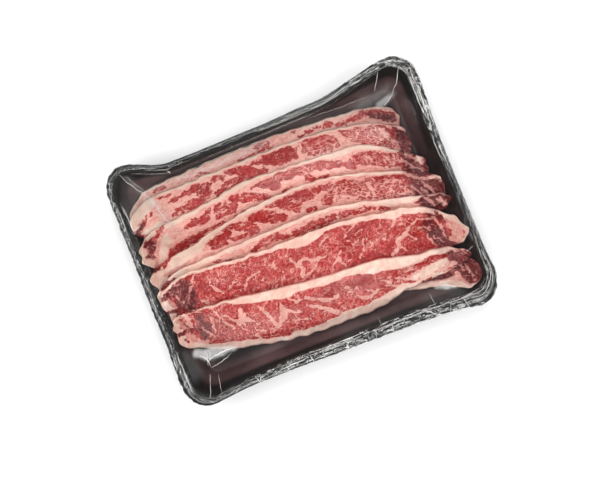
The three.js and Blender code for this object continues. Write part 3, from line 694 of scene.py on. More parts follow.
def map_at(height, x, y):
    u = np.clip(x - MAP_LEFT, 0, COLUMNS - 1.001)
    v = np.clip(y - MAP_LOW, 0, ROWS - 1.001)
    i, j = u.astype(int), v.astype(int)
    s, t = u - i, v - j
    under = height[j, i] * (1 - s) + height[j, i + 1] * s
    over = height[j + 1, i] * (1 - s) + height[j + 1, i + 1] * s
    return under * (1 - t) + over * t


def raised(height, points):
    made = height.copy()
    i = np.clip(np.rint(points[:, 0] - MAP_LEFT).astype(int), 0, COLUMNS - 1)
    j = np.clip(np.rint(points[:, 1] - MAP_LOW).astype(int), 0, ROWS - 1)
    np.maximum.at(made, (j, i), points[:, 2])
    return made


def neighbours(height):
    wide = np.pad(height, 1, mode="edge")
    return wide[1:-1, :-2], wide[1:-1, 2:], wide[:-2, 1:-1], wide[2:, 1:-1]


def dilated(height, reach):
    for _ in range(reach):
        height = np.maximum.reduce([height, *neighbours(height)])
    return height


def settled(height, rounds):
    """A soft sheet lowered on to the map: even where it is free, never below the map."""
    sheet = height.copy()
    for _ in range(rounds):
        sheet = np.maximum(height, sum(neighbours(sheet)) / 4)
    return sheet


def blurred(height, rounds):
    for _ in range(rounds):
        height = (2 * height + sum(neighbours(height))) / 6
    return height


# The rim's outline

def pull(x):
    """How far the film has pulled a long rim, from 0 at the corners to 1 along its middle."""
    return smooth(x, *BOW_START) * (1 - smooth(x, *BOW_END))


def bow_at(z):
    return smooth(z, FLOOR, RIM_TOP - 2)


def ring(inset, z, bow=None, scale=1.0):
    """One rounded rectangle of points, inset from the rim's outline and bowed as the rim is."""
    half_length = TRAY_LENGTH / 2 - inset
    half_width = TRAY_WIDTH / 2 - inset
    radius = max(CORNER_RADIUS - 0.45 * inset, SMALLEST_RADIUS)
    pieces = []
    for i, (sx, sy) in enumerate([(1, -1), (1, 1), (-1, 1), (-1, -1)]):
        angle = (i - 1) * math.pi / 2 + np.linspace(0, math.pi / 2, CORNER_STEPS, endpoint=False)
        centre = np.array([sx * (half_length - radius), sy * (half_width - radius)])
        pieces.append(centre + radius * np.stack([np.cos(angle), np.sin(angle)], axis=1))
        turned = i * math.pi / 2
        start = centre + radius * np.array([math.cos(turned), math.sin(turned)])
        along = [(0, 1), (-1, 0), (0, -1), (1, 0)][i]
        side = 2 * ((half_width if i % 2 == 0 else half_length) - radius)
        steps = SHORT_STEPS if i % 2 == 0 else LONG_STEPS
        pieces.append(start + np.outer(np.arange(steps) / steps * side, along))
    flat = np.concatenate(pieces)
    share = bow_at(z) if bow is None else bow
    pulled = share * pull(flat[:, 0]) * flat[:, 1] / half_width
    flat[:, 1] -= pulled * np.where(flat[:, 1] > 0, BACK_BOW, FRONT_BOW)
    height = z - np.maximum(pulled, 0) * BACK_SAG
    return np.column_stack([flat * scale, height])


def rounded_line(points, rounds):
    """A profile with its corners cut, round after round, between its fixed ends."""
    line = np.array(points, float)
    for _ in range(rounds):
        near = 0.75 * line[:-1] + 0.25 * line[1:]
        far = 0.25 * line[:-1] + 0.75 * line[1:]
        cut = np.stack([near, far], axis=1).reshape(-1, 2)
        line = np.concatenate([line[:1], cut[1:-1], line[-1:]])
    return line


# Tray

def make_tray():
    under = RIM_TOP - RIM_DEPTH
    foot = WALL_FOOT + FOOT_WIDTH
    profile = [
        (foot + UNDER_REACH, FOOT + UNDER_RECESS),
        (foot + 2, FOOT + UNDER_RECESS),
        (foot, FOOT),
        (WALL_FOOT + 2.4, FOOT),
        (WALL_FOOT + 0.4, FOOT + 2),
        (KNEE_INSET - KNEE_WALL, KNEE_HEIGHT - KNEE_WALL / 2),
        (RIM_WIDTH - 0.4, under),
        (0.6, under),
        (0, under + 0.6),
        (0, RIM_TOP - 1),
        (0.5, RIM_TOP - 0.1),
        (1.4, RIM_TOP),
        (RIM_WIDTH - 1.2, RIM_TOP),
        (RIM_WIDTH, RIM_TOP - 0.5),
        (RIM_WIDTH + 1.6, RIM_TOP - 2.2),
        (KNEE_INSET, KNEE_HEIGHT),
        (WALL_FOOT + 1, FLOOR + 3),
        (WALL_FOOT + 2.8, FLOOR + 0.8),
        (WALL_FOOT + 5.5, FLOOR),
        (foot + UNDER_REACH, FLOOR),
    ]
    line = rounded_line(profile, 2)
    rings = [ring(inset, z) for inset, z in line]
    inner = np.arange(len(line)) > np.argmax(line[:, 1])
    slope = inner * smooth(line[:, 1], KNEE_HEIGHT + 2.5, KNEE_HEIGHT - 1.5)
    slope *= smooth(line[:, 0], foot + 2, WALL_FOOT + 5.5)
    middles = [(0, 0, line[0][1]), (0, 0, line[-1][1])]
    points = np.concatenate([*rings, middles])
    count = len(rings[0])
    first = len(rings) * count
    faces = loft_faces(len(rings), count, first, first + 1)
    # The inner slope carries the painted reflection, stronger or weaker round the rim
    reflection_share = around(ring(0, RIM_TOP, bow=1)[:, :2], PAINTED_REFLECTION_SHARE)
    slopes = np.concatenate([np.outer(slope, reflection_share).ravel(), [0, 0]])
    return mesh_object("foam_tray", points, faces, {"slope": slopes})


# Meat

def slice_outline(node):
    """The frame's slice in plan: a function that gives its back and front edge at any x."""
    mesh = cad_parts[node].data
    points = np.array([vertex.co for vertex in mesh.vertices]) / MM
    ends = points[np.array([edge.vertices[:] for edge in mesh.edges])]
    left, right = points[:, 0].min(), points[:, 0].max()
    inner = np.linspace(left + END_ROUND + 2, right - END_ROUND - 2, 90)
    a, b = ends[:, 0], ends[:, 1]
    run = b[:, 0] - a[:, 0]
    run[np.abs(run) < 1e-9] = 1e-9
    share = (inner[:, None] - a[:, 0]) / run
    y = np.where((share >= 0) & (share <= 1), a[:, 1] + share * (b[:, 1] - a[:, 1]), np.nan)

    def curve(line):
        for _ in range(3):
            between = (line[:-2] + 2 * line[1:-1] + line[2:]) / 4
            line = np.concatenate([line[:1], between, line[-1:]])
        reach = END_ROUND + 2
        start = (line[0] - line[3]) / (inner[3] - inner[0])
        finish = (line[-1] - line[-4]) / (inner[-1] - inner[-4])
        xs = np.concatenate([[left], inner, [right]])
        ys = np.concatenate([[line[0] + start * reach], line, [line[-1] + finish * reach]])
        return lambda x: np.interp(x, xs, ys)

    return left, right, curve(np.nanmax(y, axis=1)), curve(np.nanmin(y, axis=1))


def fat_depth(cut, x, y, from_back, from_front, from_left, from_right):
    """How deep a point of the slice lies in fat, negative in the lean, and how deep in its rind."""
    seed = cut["seed"]
    across = x - MARK_LEFT + 0.8 * Waves(seed + 8, 6.5)(x, y) + 0.5 * Waves(seed + 10, 2.8)(x, y)
    down = MARK_BACK - y + 0.6 * Waves(seed + 9, 5)(x, y) + 0.45 * Waves(seed + 12, 2.4)(x, y)
    drawn_out = STREAK if cut["base"] == "fat" else 1
    ragged = 0.6 * Waves(seed, 6)(x * drawn_out, y) + 0.5 * Waves(seed + 1, 2.2)(x * drawn_out, y)
    spread = LEAN_SPREAD if cut["base"] == "fat" else 0
    lean = np.clip(deepest(across, down, cut.get("lean", [])) + spread, -DEPTH_LIMIT, DEPTH_LIMIT)
    depth = ragged - lean if cut["base"] == "fat" else np.full(np.shape(x), -DEPTH_LIMIT)
    trim = VEIN_TRIM + VEIN_VARY * Waves(seed + 14, 5)(x, y) if cut["base"] == "lean" else 0
    depth = np.maximum(depth, deepest(across, down, cut.get("fat", [])) - trim + 0.4 * ragged)
    rind = np.full(np.shape(x), -DEPTH_LIMIT)
    bands = ((cut["back_band"], from_back), (cut.get("front_band", NO_BAND), from_front))
    for band, away in bands:
        place, width = np.array(band, float).T
        rind = np.maximum(rind, np.interp(across, place, width) - away + 0.7 * ragged)
    rind = np.maximum(rind, deepest(across, down, cut.get("cream", [])) + 0.6 * ragged)
    for reach, away in zip(cut["ends"], (from_left, from_right)):
        rind = np.maximum(rind, reach - away + 1.5 * ragged)
    depth = np.maximum(depth, rind)
    if cut["base"] == "lean":
        depth = np.where(lean > -1, np.minimum(depth, ragged - lean), depth)
    # Painted shade: in the crevices between the end lumps the fat and rind are taken out, leaving lean
    # that is dark there
    shade_gap = deepest(across, down, cut.get("painted_shade_gaps", [])) + 0.4 * ragged
    depth = np.where(shade_gap > -1.5, np.minimum(depth, -1.6 * shade_gap), depth)
    rind = np.where(shade_gap > -1.5, np.minimum(rind, -1.6 * shade_gap), rind)
    crisp = LEAN_CRISP if cut["base"] == "lean" else 1
    return np.clip(crisp * depth, -DEPTH_LIMIT, DEPTH_LIMIT), np.clip(rind, -DEPTH_LIMIT, DEPTH_LIMIT)


def lumps(x, y):
    """How far the lumps raise a slice, and how far they push its ends out, in millimetres."""
    rise = np.zeros(np.shape(x))
    push = np.zeros(np.shape(x))
    right, front = marks(x, y)
    for across, down, wide, deep, high in LUMPS:
        level = np.exp(-(((front - down) / deep) ** 2))
        rise += high * level * np.exp(-(((right - across) / wide) ** 2))
        push += high * level * (x * (across + MARK_LEFT) > 0)
    return rise, push


def make_slice(cut, pile, floor):
    left, right, back, front = slice_outline(cut["node"])
    stations = int((right - left) / STATION_STEP)
    even = np.linspace(0, 1, stations)
    x = left + (right - left) * (0.55 * even + 0.45 * (0.5 - 0.5 * np.cos(math.pi * even)))
    edge_wave = Waves(cut["seed"] + 2, 14)
    nibble = Waves(cut["seed"] + 3, 4.5)
    places, shift = np.array(cut.get("shift", [(0, 0)]), float).T
    far = back(x) + np.interp(x - MARK_LEFT, places, shift)
    far += 0.55 * edge_wave(x, 0) + 0.14 * nibble(x, 0)
    near = front(x) + 0.7 * edge_wave(x, 90) + 0.2 * nibble(x, 90)
    from_end = np.minimum(x - left, right - x)
    share = np.minimum(from_end / END_ROUND, 1)
    plump = np.sqrt(np.maximum(1 - (1 - share) ** 2, 0))
    middle = (far + near) / 2
    half = (far - near) / 2 * np.maximum(plump, 0.02)
    rows = int(np.max(far - near) / ROW_STEP)
    body = cut["thick"] * (END_THIN + (1 - END_THIN) * smooth(from_end, 0, END_RUN))
    body *= 0.3 + 0.7 * plump

    rest = settled(dilated(pile, 1), PILE_SETTLING)
    rest = np.maximum(blurred(rest, PILE_BLUR), np.maximum(pile, floor))

    def sheet(v):
        """Points and half thickness of one face of the slice, at shares v across it."""
        grid_x = np.repeat(x[:, None], len(v), axis=1)
        grid_y = middle[:, None] + half[:, None] * (1 - 2 * v)
        lobes = Waves(cut["seed"] + 4, 9)(0 * grid_y, grid_y) * np.exp(-from_end / 6)[:, None]
        sign = np.where(x < (left + right) / 2, 1, -1)[:, None]
        pushed = lumps(grid_x, grid_y)[1] * np.exp(-from_end / 6)[:, None]
        grid_x = grid_x + (0.7 * lobes - END_PUSH * pushed) * sign
        from_back = half[:, None] * 2 * v
        from_front = half[:, None] * 2 * (1 - v)
        nearest = np.minimum(from_back, from_front)
        bulge = np.sqrt(1 - (1 - np.clip(nearest / EDGE_ROUND, 0, 1)) ** 2)
        swell = 1 + 0.07 * Waves(cut["seed"] + 5, 30)(grid_x, grid_y)
        thick = body[:, None] * swell / 2
        centre = map_at(rest, grid_x, grid_y) + SLICE_GAP + thick
        return grid_x, grid_y, centre, thick * bulge, from_back, from_front, bulge

    v_top = np.linspace(0, 1, rows)
    v_top = 0.8 * v_top + 0.2 * (0.5 - 0.5 * np.cos(math.pi * v_top))
    v_under = np.linspace(0, 1, UNDER_ROWS + 2)[1:-1][::-1]
    gx, gy, centre, thick, from_back, from_front, bulge = sheet(v_top)
    from_left = (x - left)[:, None]
    from_right = (right - x)[:, None]
    fat, rind = fat_depth(cut, gx, gy, from_back, from_front, from_left, from_right)
    relief = 0.22 * Waves(cut["seed"] + 6, 8)(gx, gy) + 0.1 * Waves(cut["seed"] + 7, 3)(gx, gy)
    relief += 0.28 * smooth(fat, -0.8, 1.0) + lumps(gx, gy)[0]
    top = centre + thick + relief * bulge
    ux, uy, under_centre, under_thick, under_back, under_front, _ = sheet(v_under)
    under = under_centre - under_thick
    under_fat, under_rind = fat_depth(cut, ux, uy, under_back, under_front, from_left, from_right)

    def joined(upper, lower):
        return np.concatenate([upper, lower], axis=1)

    xs, ys, zs = joined(gx, ux), joined(gy, uy), joined(top, under)
    count = xs.shape[1]
    points = np.column_stack([xs.ravel(), ys.ravel(), zs.ravel()])
    caps = [points[:count].mean(axis=0), points[-count:].mean(axis=0)]
    across, down = marks(xs.ravel(), ys.ravel())
    wander = 1.5 * Waves(5, 9)(xs.ravel(), ys.ravel())
    turn, richness = (FIBRE_TURN, 0.3) if cut["base"] == "lean" else (0, 1)
    beside = joined(from_back, under_back)
    along = (xs * math.cos(turn) - beside * math.sin(turn)).ravel()
    aside = (xs * math.sin(turn) + beside * math.cos(turn)).ravel()
    nearest = joined(np.minimum(from_back, from_front), 0 * ux).ravel()

    def with_caps(values):
        return np.concatenate([values, values[:1], values[-1:]])

    total = len(points)
    faces = loft_faces(len(x), count, total, total + 1)
    attributes = {
        "fat": joined(fat, under_fat).ravel(),
        "rind": joined(rind, under_rind).ravel(),
        "dark": smooth(deepest(across, down, DARK) + wander, -2.5, 2.5),
        "dense": richness * smooth(deepest(across, down, DENSE) + wander, -3, 3),
        "plain": smooth(deepest(across, down, PLAIN) + wander, -3, 2),
        "red": np.full(total, 1.0 if cut["base"] == "fat" else 0.0),
        "edge": nearest,
        "cut": np.column_stack([along + PATTERN_SHIFT * cut["seed"], aside, zs.ravel()]),
    }
    made = mesh_object(
        "beef_" + cut["node"],
        np.concatenate([points, caps]),
        faces,
        {label: with_caps(values) for label, values in attributes.items()},
    )
    surface = np.column_stack([gx.ravel(), gy.ravel(), top.ravel()])
    return made, raised(pile, surface)


# Film

def film_sheet(pile, floor):
    over_meat = dilated(pile, FILM_REACH) + FILM_CLEAR
    over_rim = (floor > RIM_TOP - RIM_DEPTH) | (floor == 0)
    return settled(np.where(over_rim, FILM_TOP, over_meat), FILM_SETTLING)


def resampled(line, step):
    """The same line with a point every step along it."""
    run = run_along(line)
    places = np.linspace(0, run[-1], int(run[-1] / step) + 2)
    return np.column_stack([np.interp(places, run, line[:, k]) for k in (0, 1)])


def around(line, values):
    """Numbers given at places round the rim, spread evenly between them along its outline."""
    run = run_along(line)
    places = []
    for x, y, _ in values:
        away = np.hypot(line[:, 0] - x - MARK_LEFT, line[:, 1] - MARK_BACK + y)
        places.append(run[np.argmin(away)])
    return np.interp(run, places, [value for _, _, value in values], period=run[-1])


def pleat(path, radius, seed):
    """A raised crease in the film: a thin tapering tube along a path, as points and faces."""
    path = np.array(path, float)
    along = np.gradient(path, axis=0)
    along /= np.linalg.norm(along, axis=1)[:, None]
    side = np.cross(along, (0, 0, 1.0))
    side /= np.linalg.norm(side, axis=1)[:, None]
    rise = np.cross(side, along)
    share = np.linspace(0, 1, len(path))
    size = radius * np.maximum(np.sin(math.pi * share) ** 0.5, 0.05)
    size *= 1 + 0.35 * Waves(seed, 5)(10 * share, 0)
    points = []
    for k in range(PLEAT_SIDES):
        turn = math.tau * k / PLEAT_SIDES
        points.append(path + size[:, None] * (math.cos(turn) * side + math.sin(turn) * rise))
    points = np.stack(points, axis=1).reshape(-1, 3)
    total = len(points)
    faces = loft_faces(len(path), PLEAT_SIDES, total, total + 1)
    return np.concatenate([points, path[:1], path[-1:]]), faces


def film_profile():
    """The film from the rim's inner edge over the lip and down the wall, as inset and height."""
    over = rounded_line(
        [
            (RIM_WIDTH + 1, FILM_TOP),
            (RIM_WIDTH - 0.4, FILM_TOP),
            (0.6, FILM_TOP),
            (-FILM_OUT + 0.2, RIM_TOP + 0.1),
            (-FILM_OUT, RIM_TOP - 1.2),
            (-FILM_OUT, RIM_TOP - RIM_DEPTH),
        ],
        2,
    )
    middle = ((FILM_BASE - FILM_OUT) / 2 - 0.6, (RIM_TOP - RIM_DEPTH) / 2)
    down = np.array([over[-1], middle, (FILM_BASE, 0.15)])
    over = resampled(over, LIP_STEP)
    down = resampled(down, WALL_STEP)[1:]
    return np.concatenate([over, down])


def glint(draw):
    """How brightly a crease shines: mostly faint, now and then bright."""
    return 0.12 + 4.4 * draw.uniform() ** 4


def make_film(sheet):
    profile = film_profile()
    length = run_along(profile)
    line = ring(0, RIM_TOP, bow=1)[:, :2]
    ahead = np.roll(line, -1, axis=0) - np.roll(line, 1, axis=0)
    out = np.column_stack([ahead[:, 1], -ahead[:, 0]]) / np.hypot(*ahead.T)[:, None]
    flare = around(line, FLARE)
    glare = around(line, RIM_GLARE)
    begin = around(line, RIM_START)
    run = run_along(line)
    corner = np.clip(np.minimum(abs(abs(line[:, 0]) - TRAY_LENGTH / 2), 30) / 30, 0, 1)
    bunch = (1.6 - 0.8 * corner) * (0.35 + 0.65 * smooth(flare, 0, 0.6))

    rings = []
    for scale in np.linspace(0.02, 1, FILM_RINGS):
        made = ring(RIM_WIDTH + 1, RIM_TOP, bow=1, scale=scale)
        made[:, 2] = map_at(sheet, made[:, 0], made[:, 1])
        rings.append(made)
    for (inset, z), place in zip(profile[1:], length[1:]):
        made = ring(inset, z)
        lip = smooth(inset, 2.6, -0.6) if z > RIM_TOP - RIM_DEPTH - 0.01 else 1
        lip = lip * smooth(z, 2, 17)
        ripple = Waves(41, 5.5)(line[:, 0], line[:, 1] + 1.4 * place)
        crumple = Waves(42, 2.7)(line[:, 0] + 0.8 * place, line[:, 1])
        push = flare + bunch * (0.34 * (1 + ripple) + 0.16 * crumple)
        made[:, :2] += out * (push * lip)[:, None]
        rise = bunch * (ripple + 0.6 * crumple) * smooth(z, 14, 20) * smooth(place, 0, 1.5)
        made[:, 2] += 0.28 * smooth(glare, 0, 0.5) * rise
        rings.append(made)
    wrapped = len(rings)
    for scale in BASE_SCALES:
        rings.append(ring(FILM_BASE, BASE_HEIGHT, scale=scale))
    points = np.concatenate(rings)
    count = len(rings[0])
    middles = [points[:count].mean(axis=0), points[-count:].mean(axis=0)]
    total = len(points)
    faces = loft_faces(len(rings), count, total, total + 1)
    points = np.concatenate([points, middles])

    across, front = marks(points[:, 0], points[:, 1])
    # Milky film, partly painted reflections and glints: the patches, then the creases' strengths
    haze_and_glints = np.zeros(len(points))
    for strength, soft, widths, path in HAZE_AND_REFLECTIONS:
        inside = stroke_depth(across, front, widths, path) + 0.5 * Waves(43, 9)(across, front)
        haze_and_glints = np.maximum(haze_and_glints, strength * smooth(inside, -soft, 0.8 * soft))
    haze_and_glints[FILM_RINGS * count:] = 0
    first = FILM_RINGS - 1
    rim = np.zeros((len(points), 3))
    glow = np.zeros(len(points))
    for k in range(first - 2, wrapped):
        place = length[min(max(k - first, 0), len(length) - 1)] - max(first - k, 0)
        here = slice(k * count, (k + 1) * count)
        # The lip share marks the film over the rim's outer edge, which the material tints with painted
        # shade
        lip = smooth(place, 4, 6) * smooth(place, 22, 11)
        rim[here] = np.column_stack([run, np.full(count, place), np.full(count, lip)])
        glow[here] = glare * smooth(place - begin, -1, 0.6) * (0.35 + 0.65 * smooth(place, 24, 10))

    # Raised creases: on the sheet where the strokes are, and at random round the rim, each drawn milky
    # by its strength as a painted glint
    grid = np.stack(rings[first:wrapped])

    def on_rim(place, index):
        k = np.clip(np.interp(place, length, np.arange(len(length))), 0, len(grid) - 1.001)
        i = index % count
        low, left = k.astype(int), i.astype(int)
        a, b = (k - low)[:, None], (i - left)[:, None]
        right = (left + 1) % count
        upper = grid[low, left] * (1 - b) + grid[low, right] * b
        lower = grid[low + 1, left] * (1 - b) + grid[low + 1, right] * b
        return upper * (1 - a) + lower * a

    draw = np.random.default_rng(44)
    tubes = []
    for strength, radius, path in CREASES:
        path = np.array(path, float)
        steps = run_along(path)
        even = np.linspace(0, steps[-1], int(steps[-1] / 0.7) + 3)
        x = np.interp(even, steps, path[:, 0]) + MARK_LEFT + 0.35 * Waves(45, 6)(even, 0)
        y = MARK_BACK - np.interp(even, steps, path[:, 1]) + 0.35 * Waves(46, 6)(even, 0)
        tubes.append((np.column_stack([x, y, map_at(sheet, x, y) + 0.1]), radius, strength))
    for n in range(RIM_CREASES):
        start = draw.uniform(0, count)
        shine = np.interp(start, np.arange(count), glare)
        reach = draw.uniform(6, 34)
        index = start + np.linspace(0, reach, int(reach) + 3)
        inner = np.interp(start, np.arange(count), begin)
        place = inner + (8 - inner) * draw.uniform(0, 1) + 0.35 * Waves(500 + n, 12)(index, 0)
        path = on_rim(np.clip(place, 0, CREASE_LIMIT), index) + (0, 0, CREASE_LIFT)
        tubes.append((path, draw.uniform(0.1, 0.26), shine * glint(draw)))
    for n in range(CROSS_CREASES):
        start = draw.uniform(0, count)
        shine = np.interp(start, np.arange(count), glare)
        inner = np.interp(start, np.arange(count), begin)
        place = np.linspace(inner + draw.uniform(0, 2), draw.uniform(5.5, CREASE_LIMIT), 12)
        index = start + draw.uniform(-9, 9) * np.linspace(0, 1, 12)
        path = on_rim(np.clip(place, 0, CREASE_LIMIT), index) + (0, 0, CREASE_LIFT)
        tubes.append((path, draw.uniform(0.1, 0.22), shine * glint(draw)))

    parts, haze_and_glint_parts = [points], [haze_and_glints]
    total = len(points)
    for n, (path, radius, strength) in enumerate(tubes):
        more, sides = pleat(path, radius, 900 + n)
        faces.extend(tuple(point + total for point in face) for face in sides)
        parts.append(more)
        haze_and_glint_parts.append(np.full(len(more), min(strength, 0.95)))
        total += len(more)
    points, haze_and_glints = np.concatenate(parts), np.concatenate(haze_and_glint_parts)
    added = len(points) - len(rim)
    rim = np.concatenate([rim, np.zeros((added, 3))])
    glow = np.concatenate([glow, np.zeros(added)])
    outward = [face[::-1] for face in faces]
    return mesh_object("stretch_film", points, outward, {"haze_and_glints": haze_and_glints, "rim": rim, "glow": glow})


# Materials

class Nodes:
    """A material's node tree, with one short call for each kind of node used here."""

    def __init__(self, name):
        self.material = bpy.data.materials.new(name)
        self.material.use_nodes = True
        self.tree = self.material.node_tree
        self.tree.nodes.clear()

    def add(self, kind, inputs=(), **settings):
        node = self.tree.nodes.new(kind)
        for key, value in settings.items():
            setattr(node, key, value)
        for key, value in dict(inputs).items():
            if isinstance(value, bpy.types.NodeSocket):
                self.tree.links.new(value, node.inputs[key])
            else:
                node.inputs[key].default_value = value
        return node

    def attribute(self, name, output="Fac"):
        return self.add("ShaderNodeAttribute", attribute_name=name).outputs[output]

    def math(self, operation, *values, clamp=False):
        made = self.add("ShaderNodeMath", dict(enumerate(values)), operation=operation, use_clamp=clamp)
        return made.outputs[0]

    def vector(self, operation, *values):
        made = self.add("ShaderNodeVectorMath", dict(enumerate(values)), operation=operation)
        return made.outputs[0]

    def place(self):
        return self.add("ShaderNodeTexCoord").outputs["Object"]

    def bump(self, strength, distance, height):
        inputs = {"Strength": strength, "Distance": distance, "Height": height}
        return self.add("ShaderNodeBump", inputs).outputs[0]

    def principled(self, inputs):
        return self.add("ShaderNodeBsdfPrincipled", inputs).outputs[0]

    def step(self, value, low, high, to_low=0.0, to_high=1.0):
        """A smooth step of value from low to high."""
        inputs = {0: value, 1: low, 2: high, 3: to_low, 4: to_high}
        return self.add("ShaderNodeMapRange", inputs, interpolation_type="SMOOTHSTEP").outputs[0]

    def noise(self, place, scale, detail=2.0, output="Fac"):
        inputs = {"Vector": place, "Scale": scale, "Detail": detail}
        return self.add("ShaderNodeTexNoise", inputs).outputs[output]

    def ridge(self, place, scale, detail, level):
        """How far a noise is from a level: near zero along winding lines."""
        return self.math("ABSOLUTE", self.math("SUBTRACT", self.noise(place, scale, detail), level))

    def cells(self, place, scale):
        """How far a point is from the nearest border between cells, in cells."""
        inputs = {"Vector": place, "Scale": scale}
        return self.add("ShaderNodeTexVoronoi", inputs, feature="DISTANCE_TO_EDGE").outputs["Distance"]

    def mix(self, share, a, b):
        """Two colours mixed, each a socket or three screen values."""
        a, b = (colour(*c) if isinstance(c, tuple) else c for c in (a, b))
        inputs = {"Factor": share, 6: a, 7: b}
        return self.add("ShaderNodeMix", inputs, data_type="RGBA").outputs[2]

    def output(self, shader):
        self.add("ShaderNodeOutputMaterial", {"Surface": shader})
        return self.material


def colour(red, green, blue):
    """A colour given as its 0 to 255 screen values, as Blender's linear one."""
    def linear(c):
        c = c / 255
        return c / 12.92 if c <= 0.04045 else ((c + 0.055) / 1.055) ** 2.4

    return (linear(red), linear(green), linear(blue), 1)


def beef_material():
    n = Nodes("raw_beef")
    cut = n.attribute("cut", "Vector")
    fat = n.attribute("fat")
    rind = n.attribute("rind")
    dark = n.attribute("dark")
    dense = n.attribute("dense")
    edge = n.attribute("edge")
    plain = n.attribute("plain")
    wander = n.vector("SUBTRACT", n.noise(cut, 0.13, 2, "Color"), (0.5, 0.5, 0.5))
    wander = n.vector("MULTIPLY", wander, (7, 7, 5))
    warped = n.vector("ADD", cut, wander)
    flicker = n.vector("SUBTRACT", n.noise(cut, 0.45, 2, "Color"), (0.5, 0.5, 0.5))
    flicker = n.vector("MULTIPLY", flicker, (1.3, 1.3, 1.3))
    warped = n.vector("ADD", warped, flicker)

    # Branching veins, thick in places and broken in others
    stretched = n.vector("MULTIPLY", warped, (0.55, 1, 1))
    branch = n.ridge(stretched, 0.17, 2, 0.5)
    branch_width = n.step(n.noise(cut, 0.1, 1), 0.4, 0.68, -0.004, 0.015)
    branches = n.step(n.math("SUBTRACT", branch_width, branch), -0.012, 0.006)
    twig = n.ridge(stretched, 0.29, 2, 0.52)
    twig_noise = n.noise(n.vector("ADD", cut, (20.0, 50.0, 0.0)), 0.13, 1)
    twig_width = n.step(twig_noise, 0.38, 0.62, -0.005, 0.013)
    twigs = n.step(n.math("SUBTRACT", twig_width, twig), -0.012, 0.004)
    branches = n.math("MAXIMUM", branches, twigs)

    # Short fine marbling, dense in some muscles
    cells = n.cells(n.vector("MULTIPLY", warped, (0.27, 0.36, 0.36)), 1.0)
    mask = n.noise(n.vector("ADD", cut, (70.0, 30.0, 0.0)), 0.2, 2)
    cell_width = n.math("MULTIPLY_ADD", dense, 0.098, n.step(mask, 0.46, 0.74, -0.06, 0.05))
    cell_width = n.math("MULTIPLY_ADD", plain, -0.12, cell_width)
    netting = n.step(n.math("SUBTRACT", cell_width, cells), -0.05, 0.04)

    # Worm-like flecks and specks
    ridge = n.ridge(stretched, 0.48, 3, 0.5)
    fleck_width = n.math("MULTIPLY_ADD", dense, 0.01, n.step(mask, 0.42, 0.74, -0.006, 0.012))
    flecks = n.step(n.math("SUBTRACT", fleck_width, ridge), -0.014, 0.008)

    streaks = n.noise(n.vector("MULTIPLY", warped, (0.2, 1.0, 1.0)), 1.0, 3)
    fine_grain = n.noise(warped, 1.1, 3)
    grainy = n.math("MULTIPLY_ADD", fine_grain, 0.45, n.math("MULTIPLY", streaks, 0.55))
    grainy = n.math("SUBTRACT", grainy, 0.5)
    depth = n.math("MULTIPLY_ADD", grainy, 3.4, fat)
    drawn = n.step(depth, -0.75, 0.5)
    solid = n.step(depth, 0.1, 1.6)
    fine = n.math("MAXIMUM", n.math("MULTIPLY", branches, 0.95), n.math("MULTIPLY", netting, 0.8))
    fine = n.math("MAXIMUM", fine, n.math("MULTIPLY", flecks, 0.7))
    fine = n.math("MULTIPLY", fine, n.math("MULTIPLY_ADD", plain, -0.45, 1.0))
    fine = n.math("MULTIPLY", fine, n.math("MULTIPLY_ADD", dark, -0.3, 1.0))
    amount = n.math("MAXIMUM", drawn, fine)

    # Lean: large patches of deeper red, mottled about once a millimetre
    tone = n.noise(n.vector("MULTIPLY", cut, (0.5, 1, 1)), 0.07, 3)
    mottle = n.noise(n.vector("MULTIPLY", warped, (0.7, 1.2, 1)), 0.62, 3)
    mottle = n.math("MULTIPLY_ADD", n.math("SUBTRACT", tone, 0.5), TONE, mottle)
    mottle = n.math("MULTIPLY_ADD", n.attribute("red"), -0.05, mottle)
    mottle = n.math("MULTIPLY_ADD", plain, -0.07, mottle)
    lean = n.mix(n.step(mottle, 0.33, 0.52), LEAN_DEEP, LEAN)
    lean = n.mix(n.step(mottle, 0.5, 0.68), lean, LEAN_PALE)
    border = n.math("MULTIPLY_ADD", dense, 0.35, n.math("MULTIPLY", n.step(depth, -2.2, -0.9), 0.35))
    lean = n.mix(border, lean, LEAN_BORDER)
    # Burgundy lean, and darker veins and fat, in the dark zones: partly the meat's colour, partly
    # painted shade at the slices' ends
    burgundy = n.mix(n.step(mottle, 0.36, 0.62), BURGUNDY_DEEP, BURGUNDY)
    vivid = n.mix(n.step(mottle, 0.33, 0.6), VIVID_DEEP, VIVID)
    lean = n.mix(n.math("MULTIPLY", plain, 0.5), lean, vivid)
    lean = n.mix(dark, lean, burgundy)
    veined = n.mix(n.math("MULTIPLY", dark, 0.6), VEIN, VEIN_DARK)

    # Fat: pink between the muscles, cream along the rind
    pink = n.mix(n.step(streaks, 0.36, 0.62), FAT_PINK, FAT_LIGHT)
    cream = n.mix(n.step(n.noise(stretched, 0.24, 3), 0.36, 0.66), RIND_LIGHT, RIND_PINK)
    thread = n.ridge(stretched, 0.33, 3, 0.47)
    pink = n.mix(n.step(thread, 0.022, 0.0, 0.0, 0.55), pink, FAT_THREAD)
    pink = n.mix(n.math("MULTIPLY", dark, 0.45), pink, FAT_DARK)
    back = n.add("ShaderNodeSeparateXYZ", {0: n.place()}).outputs[1]
    cream = n.mix(n.step(back, -0.01, 0.04, 0.0, 0.55), cream, RIND_GREY)
    flesh = n.mix(n.step(rind, -0.5, 0.6), pink, cream)
    skin = n.mix(n.step(amount, 0.05, 0.95), lean, veined)
    skin = n.mix(solid, skin, flesh)
